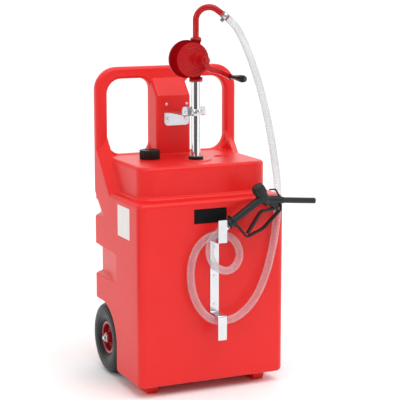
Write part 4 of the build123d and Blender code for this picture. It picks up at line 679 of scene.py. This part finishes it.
# Hose: clear vinyl with a steel spiral in its wall, from the pump's spout down to the loops on the cleat and
# up to the nozzle's tail, held by a worm clamp at each end.
hose_radius = 0.0134
spiral_radius = 0.0121
spiral_wire = 0.0004
spiral_pitch = 0.0052
spiral_steps = 12
hose_route = (
    (0.09486, -0.07085, 1.29230), (0.13192, -0.08774, 1.26161), (0.147, -0.112, 1.222), (0.168, -0.134, 1.160),
    (0.190, -0.158, 1.072), (0.208, -0.176, 0.986), (0.222, -0.190, 0.900), (0.232, -0.206, 0.805),
    (0.238, -0.2255, 0.700), (0.234, -0.229, 0.608), (0.219, -0.233, 0.510), (0.190, -0.237, 0.405),
    (0.146, -0.241, 0.320), (0.088, -0.245, 0.270), (0.030, -0.247, 0.254), (-0.022, -0.246, 0.262),
    (-0.062, -0.243, 0.299), (-0.088, -0.238, 0.352), (-0.097, -0.233, 0.414), (-0.091, -0.230, 0.474),
    (-0.066, -0.229, 0.524), (-0.027, -0.229, 0.552), (0.014, -0.230, 0.557), (0.051, -0.232, 0.547),
    (0.079, -0.236, 0.519), (0.087, -0.240, 0.480), (0.070, -0.245, 0.445), (0.038, -0.250, 0.429),
    (0.000, -0.254, 0.440), (-0.029, -0.257, 0.468), (-0.039, -0.258, 0.507), (-0.031, -0.258, 0.547),
    (-0.00026, -0.256, 0.57086), (0.03161, -0.256, 0.59155),
)
# Above this height the hose and its spiral carry painted grey shade.
painted_grey_height = 0.66
painted_grey_per_metre = 8.0


def painted_grey_share(place):
    """How much painted grey shade the hose takes: none on the tank's front, all of it on the stretch above the
    given height that hangs in the light.
    """
    return ((place.axis("Z") - painted_grey_height) * painted_grey_per_metre).clamped()


def clear_vinyl(place):
    """Clear hose plastic with a gloss skin, milkier where the wall is seen edge on; higher up, painted grey
    shade darkens it, thickens it and dims its coat.
    """
    haze = place.noise(25.0, detail=3.0)
    edge_on = place.add("LayerWeight", inputs={"Blend": 0.5}, output="Facing")
    share = painted_grey_share(place)
    unshaded = haze.between((0.76, 0.73, 0.76, 1.0), (0.88, 0.85, 0.88, 1.0))
    # Painted shade: the grey that the hose takes higher up, above the tank's front.
    grey = haze.between((0.50, 0.51, 0.51, 1.0), (0.62, 0.63, 0.63, 1.0))
    return {
        "Base Color": share.mixed(unshaded, grey),
        "Roughness": haze * 0.10 + 0.10,
        "Alpha": haze * 0.06 + edge_on * 0.4 + share * 0.06 + 0.04,
        "Coat Weight": 1.0 - share * 0.6,
    }


def spiral_steel(place):
    """The bright steel wire in the hose wall, with painted shade making it a duller grey higher up."""
    shade = place.noise(50.0)
    bright = shade.between((0.50, 0.48, 0.52, 1.0), (0.66, 0.64, 0.68, 1.0))
    # Painted shade: the duller wire colour higher up.
    dull = shade.between((0.20, 0.20, 0.21, 1.0), (0.32, 0.32, 0.33, 1.0))
    return {
        "Base Color": painted_grey_share(place).mixed(bright, dull),
        "Metallic": 0.6,
        "Roughness": shade * 0.1 + 0.3,
    }


def wire_curve(name, points, kind, width, roundness):
    """A round wire along points: straight from one to the next as POLY, smooth as NURBS."""
    curve = bpy.data.curves.new(name, "CURVE")
    curve.dimensions = "3D"
    spline = curve.splines.new(kind)
    spline.points.add(len(points) - 1)
    for point, place in zip(spline.points, points):
        point.co = (*place, 1.0)
    curve.bevel_depth = width
    curve.bevel_resolution = roundness
    return enter(name, curve)


def route_curve(name, route, width):
    """A smooth curve along a route's control points, as thick as asked."""
    piece = wire_curve(name, route, "NURBS", width, 8)
    spline = piece.data.splines[0]
    spline.order_u = 3
    spline.use_endpoint_u = True
    spline.resolution_u = 16
    return piece


def spiral_points(points):
    """Points of a helix round a line, with turns of even pitch that never twist with the line's bends."""
    aim = (points[1] - points[0]).normalized()
    across = aim.orthogonal().normalized()
    travelled = 0.0
    helix = []
    step = spiral_pitch / spiral_steps
    count = 0
    for near, far in zip(points, points[1:]):
        run = far - near
        heading = run.normalized()
        across = (across - heading * across.dot(heading)).normalized()
        up = heading.cross(across)
        while count * step < travelled + run.length:
            share = (count * step - travelled) / run.length
            angle = tau * count / spiral_steps
            helix.append(near + run * share + (across * cos(angle) + up * sin(angle)) * spiral_radius)
            count += 1
        travelled += run.length
    return helix


hose = route_curve("hose_vinyl", hose_route, hose_radius)
hose.data.materials.append(finish("clear_vinyl", clear_vinyl))
bare_route = route_curve("hose_line", hose_route, 0.0)
line_mesh = settled(bare_route)
line_points = [vertex.co.copy() for vertex in line_mesh.vertices]
bpy.data.objects.remove(bare_route)
helix_points = spiral_points(line_points)
spiral = wire_curve("hose_spiral", helix_points, "POLY", spiral_wire, 1)
spiral.data.materials.append(finish("spiral_steel", spiral_steel))
carry(hose, "root", "hose", "hose")
carry(spiral, "root", "steel")
dress(bright_zinc, 0.0004, "spout_hose_clamp", "nozzle_hose_clamp")

# Hose cleat: one bent strip in bright zinc with an upper and a lower shelf, which hold the hose's turns.
# Screws hold it to the tank's front.
dress(bright_zinc, 0.0007, "hose_cleat")
dress(bright_zinc, 0.0004, "cleat_screws")

# Nozzle: a die-cast body in black powder coat with a swivel tail, a fluted valve cap, a bent guard, a lever,
# a wire hook and a steel outlet pipe.
nozzle_grain = 0.0010
nozzle_soft_passes = 4
cap_flutes = 12
valve_place = Vector((0.16496, -0.256, 0.67815))
valve_aim = Vector((-0.54463904, 0.0, 0.83867057))
hanger_radius = 0.0030
hanger_route = (
    (0.2276, -0.256, 0.6759), (0.2145, -0.256, 0.6971), (0.2118, -0.256, 0.7014), (0.2065, -0.256, 0.7015),
    (0.1888, -0.256, 0.7020),
)


def powder_coat(place):
    """Black powder coat with a fine orange peel and a dusty green-grey cast."""
    peel = place.noise(380.0)
    dust = place.noise(18.0, detail=4.0)
    return {
        "Base Color": dust.between((0.006, 0.009, 0.009, 1.0), (0.014, 0.019, 0.018, 1.0)),
        "Roughness": dust * 0.12 + 0.32,
        "Specular IOR Level": 0.35,
        "Normal": peel.relief(0.00014, 0.6),
    }


nozzle_black = finish("powder_coat", powder_coat)
body = melted("nozzle_body", "nozzle_casting", nozzle_black, nozzle_grain, nozzle_soft_passes)
carry(body, "root", "nozzle", "nozzle_body")
guard = melted("nozzle_guard", "nozzle_trigger_guard", nozzle_black, nozzle_grain, nozzle_soft_passes)
carry(guard, "root", "nozzle", "nozzle_guard")
dress(nozzle_black, 0.0008, "nozzle_tail", "nozzle_spout")
dress(nozzle_black, 0.0012, "nozzle_lever")
dress(dark_steel, 0.0004, "lever_pin")
hanger = route_curve("nozzle_hanger", hanger_route, hanger_radius)
hanger.data.use_fill_caps = True
hanger.data.materials.append(nozzle_black)
carry(hanger, "root", "nozzle", "nozzle_hook")
valve_cap = turned(
    "valve_cap", nozzle_black, valve_place, valve_aim,
    (
        (0.0122, 0.0), (0.0122, 0.0218), (0.0190, 0.0218), (0.0196, 0.0227), (0.0370, 0.0227),
        (0.0376, 0.0208), (0.0455, 0.0208), (0.0480, 0.0182), (0.0485, 0.0),
    ), sides=120, flutes=cap_flutes, flute_depth=0.0024, edge=0.0004,
)
carry(valve_cap, "root", "nozzle", "nozzle_valve_cap")

# Wheels: a rubber tyre with ridged sidewalls and a grooved tread on a two-part pressed rim in gloss red, bolted
# together, with bearings, on an axle with washers and cotter pins.
ridges_per_metre = 640.0
axle_middle = middle("axle")


def tyre_rubber(place):
    """Grey-black rubber with fine concentric ridges on the sidewall."""
    centred = place.add(
        "VectorMath", {"operation": "SUBTRACT"}, {0: place, 1: (0.0, axle_middle.y, axle_middle.z)}
    )
    flat = place.add("VectorMath", {"operation": "MULTIPLY"}, {0: centred, 1: (0.0, 1.0, 1.0)})
    radius = place.add("VectorMath", {"operation": "LENGTH"}, {0: flat}, output="Value")
    ridges = place.maths("SINE", radius * ridges_per_metre)
    wear = place.noise(30.0, detail=5.0)
    return {
        "Base Color": wear.between((0.006, 0.007, 0.008, 1.0), (0.018, 0.020, 0.022, 1.0)),
        "Roughness": wear * 0.15 + 0.28,
        "Specular IOR Level": 0.22,
        "Normal": (ridges + place.noise(500.0) * 0.4).relief(0.0005, 0.7),
    }


def rim_paint(place):
    """Gloss red enamel on pressed steel."""
    flow = place.noise(60.0)
    return {
        "Base Color": flow.between((0.28, 0.003, 0.007, 1.0), (0.38, 0.006, 0.011, 1.0)),
        "Roughness": flow * 0.1 + 0.25,
        "Coat Weight": flow * 0.2 + 0.3,
        "Normal": flow.relief(0.0002, 0.3),
    }


rubber = finish("tyre_rubber", tyre_rubber)
rim_red = finish("rim_paint", rim_paint)
for side in ("left", "right"):
    dress(rubber, 0.0, "tyre_" + side)
    dress(rim_red, 0.0, "rim_" + side)
    dress(bright_zinc, 0.0004, "rim_bolts_" + side)
    dress(dark_steel, 0.0, "bearings_" + side)
dress(bright_zinc, 0.0005, "axle", "axle_washers")
dress(bright_zinc, 0.0, "axle_pins")

# Inside pieces: the pump's rotor, its vanes and bush, the nozzle's valve and spring, and the strainer at the
# suction tube's foot. Their finishes are those of plain machined and moulded parts.


def plain_steel(place):
    """Machined steel with fine turning marks."""
    marks = place.noise(300.0, detail=4.0)
    return {
        "Base Color": marks.between((0.42, 0.43, 0.45, 1.0), (0.60, 0.61, 0.63, 1.0)),
        "Metallic": 1.0,
        "Roughness": marks * 0.1 + 0.25,
    }


def darkened_brass(place):
    """Brass darkened by fuel."""
    marks = place.noise(300.0, detail=4.0)
    return {
        "Base Color": marks.between((0.09, 0.068, 0.03, 1.0), (0.20, 0.15, 0.07, 1.0)),
        "Metallic": 1.0,
        "Roughness": marks * 0.1 + 0.22,
    }


def white_moulding(place):
    """White moulded plastic."""
    cloud = place.noise(40.0)
    return {
        "Base Color": cloud.between((0.66, 0.66, 0.63, 1.0), (0.76, 0.76, 0.73, 1.0)),
        "Roughness": cloud * 0.1 + 0.4,
    }


steel = finish("plain_steel", plain_steel)
brass = finish("darkened_brass", darkened_brass)
dress(steel, 0.0, "pump_rotor", "nozzle_spring")
dress(brass, 0.0, "shaft_bush", "nozzle_valve")
dress(black_moulding, 0.0, "rotor_vanes")
dress(finish("white_moulding", white_moulding), 0.0, "suction_strainer")
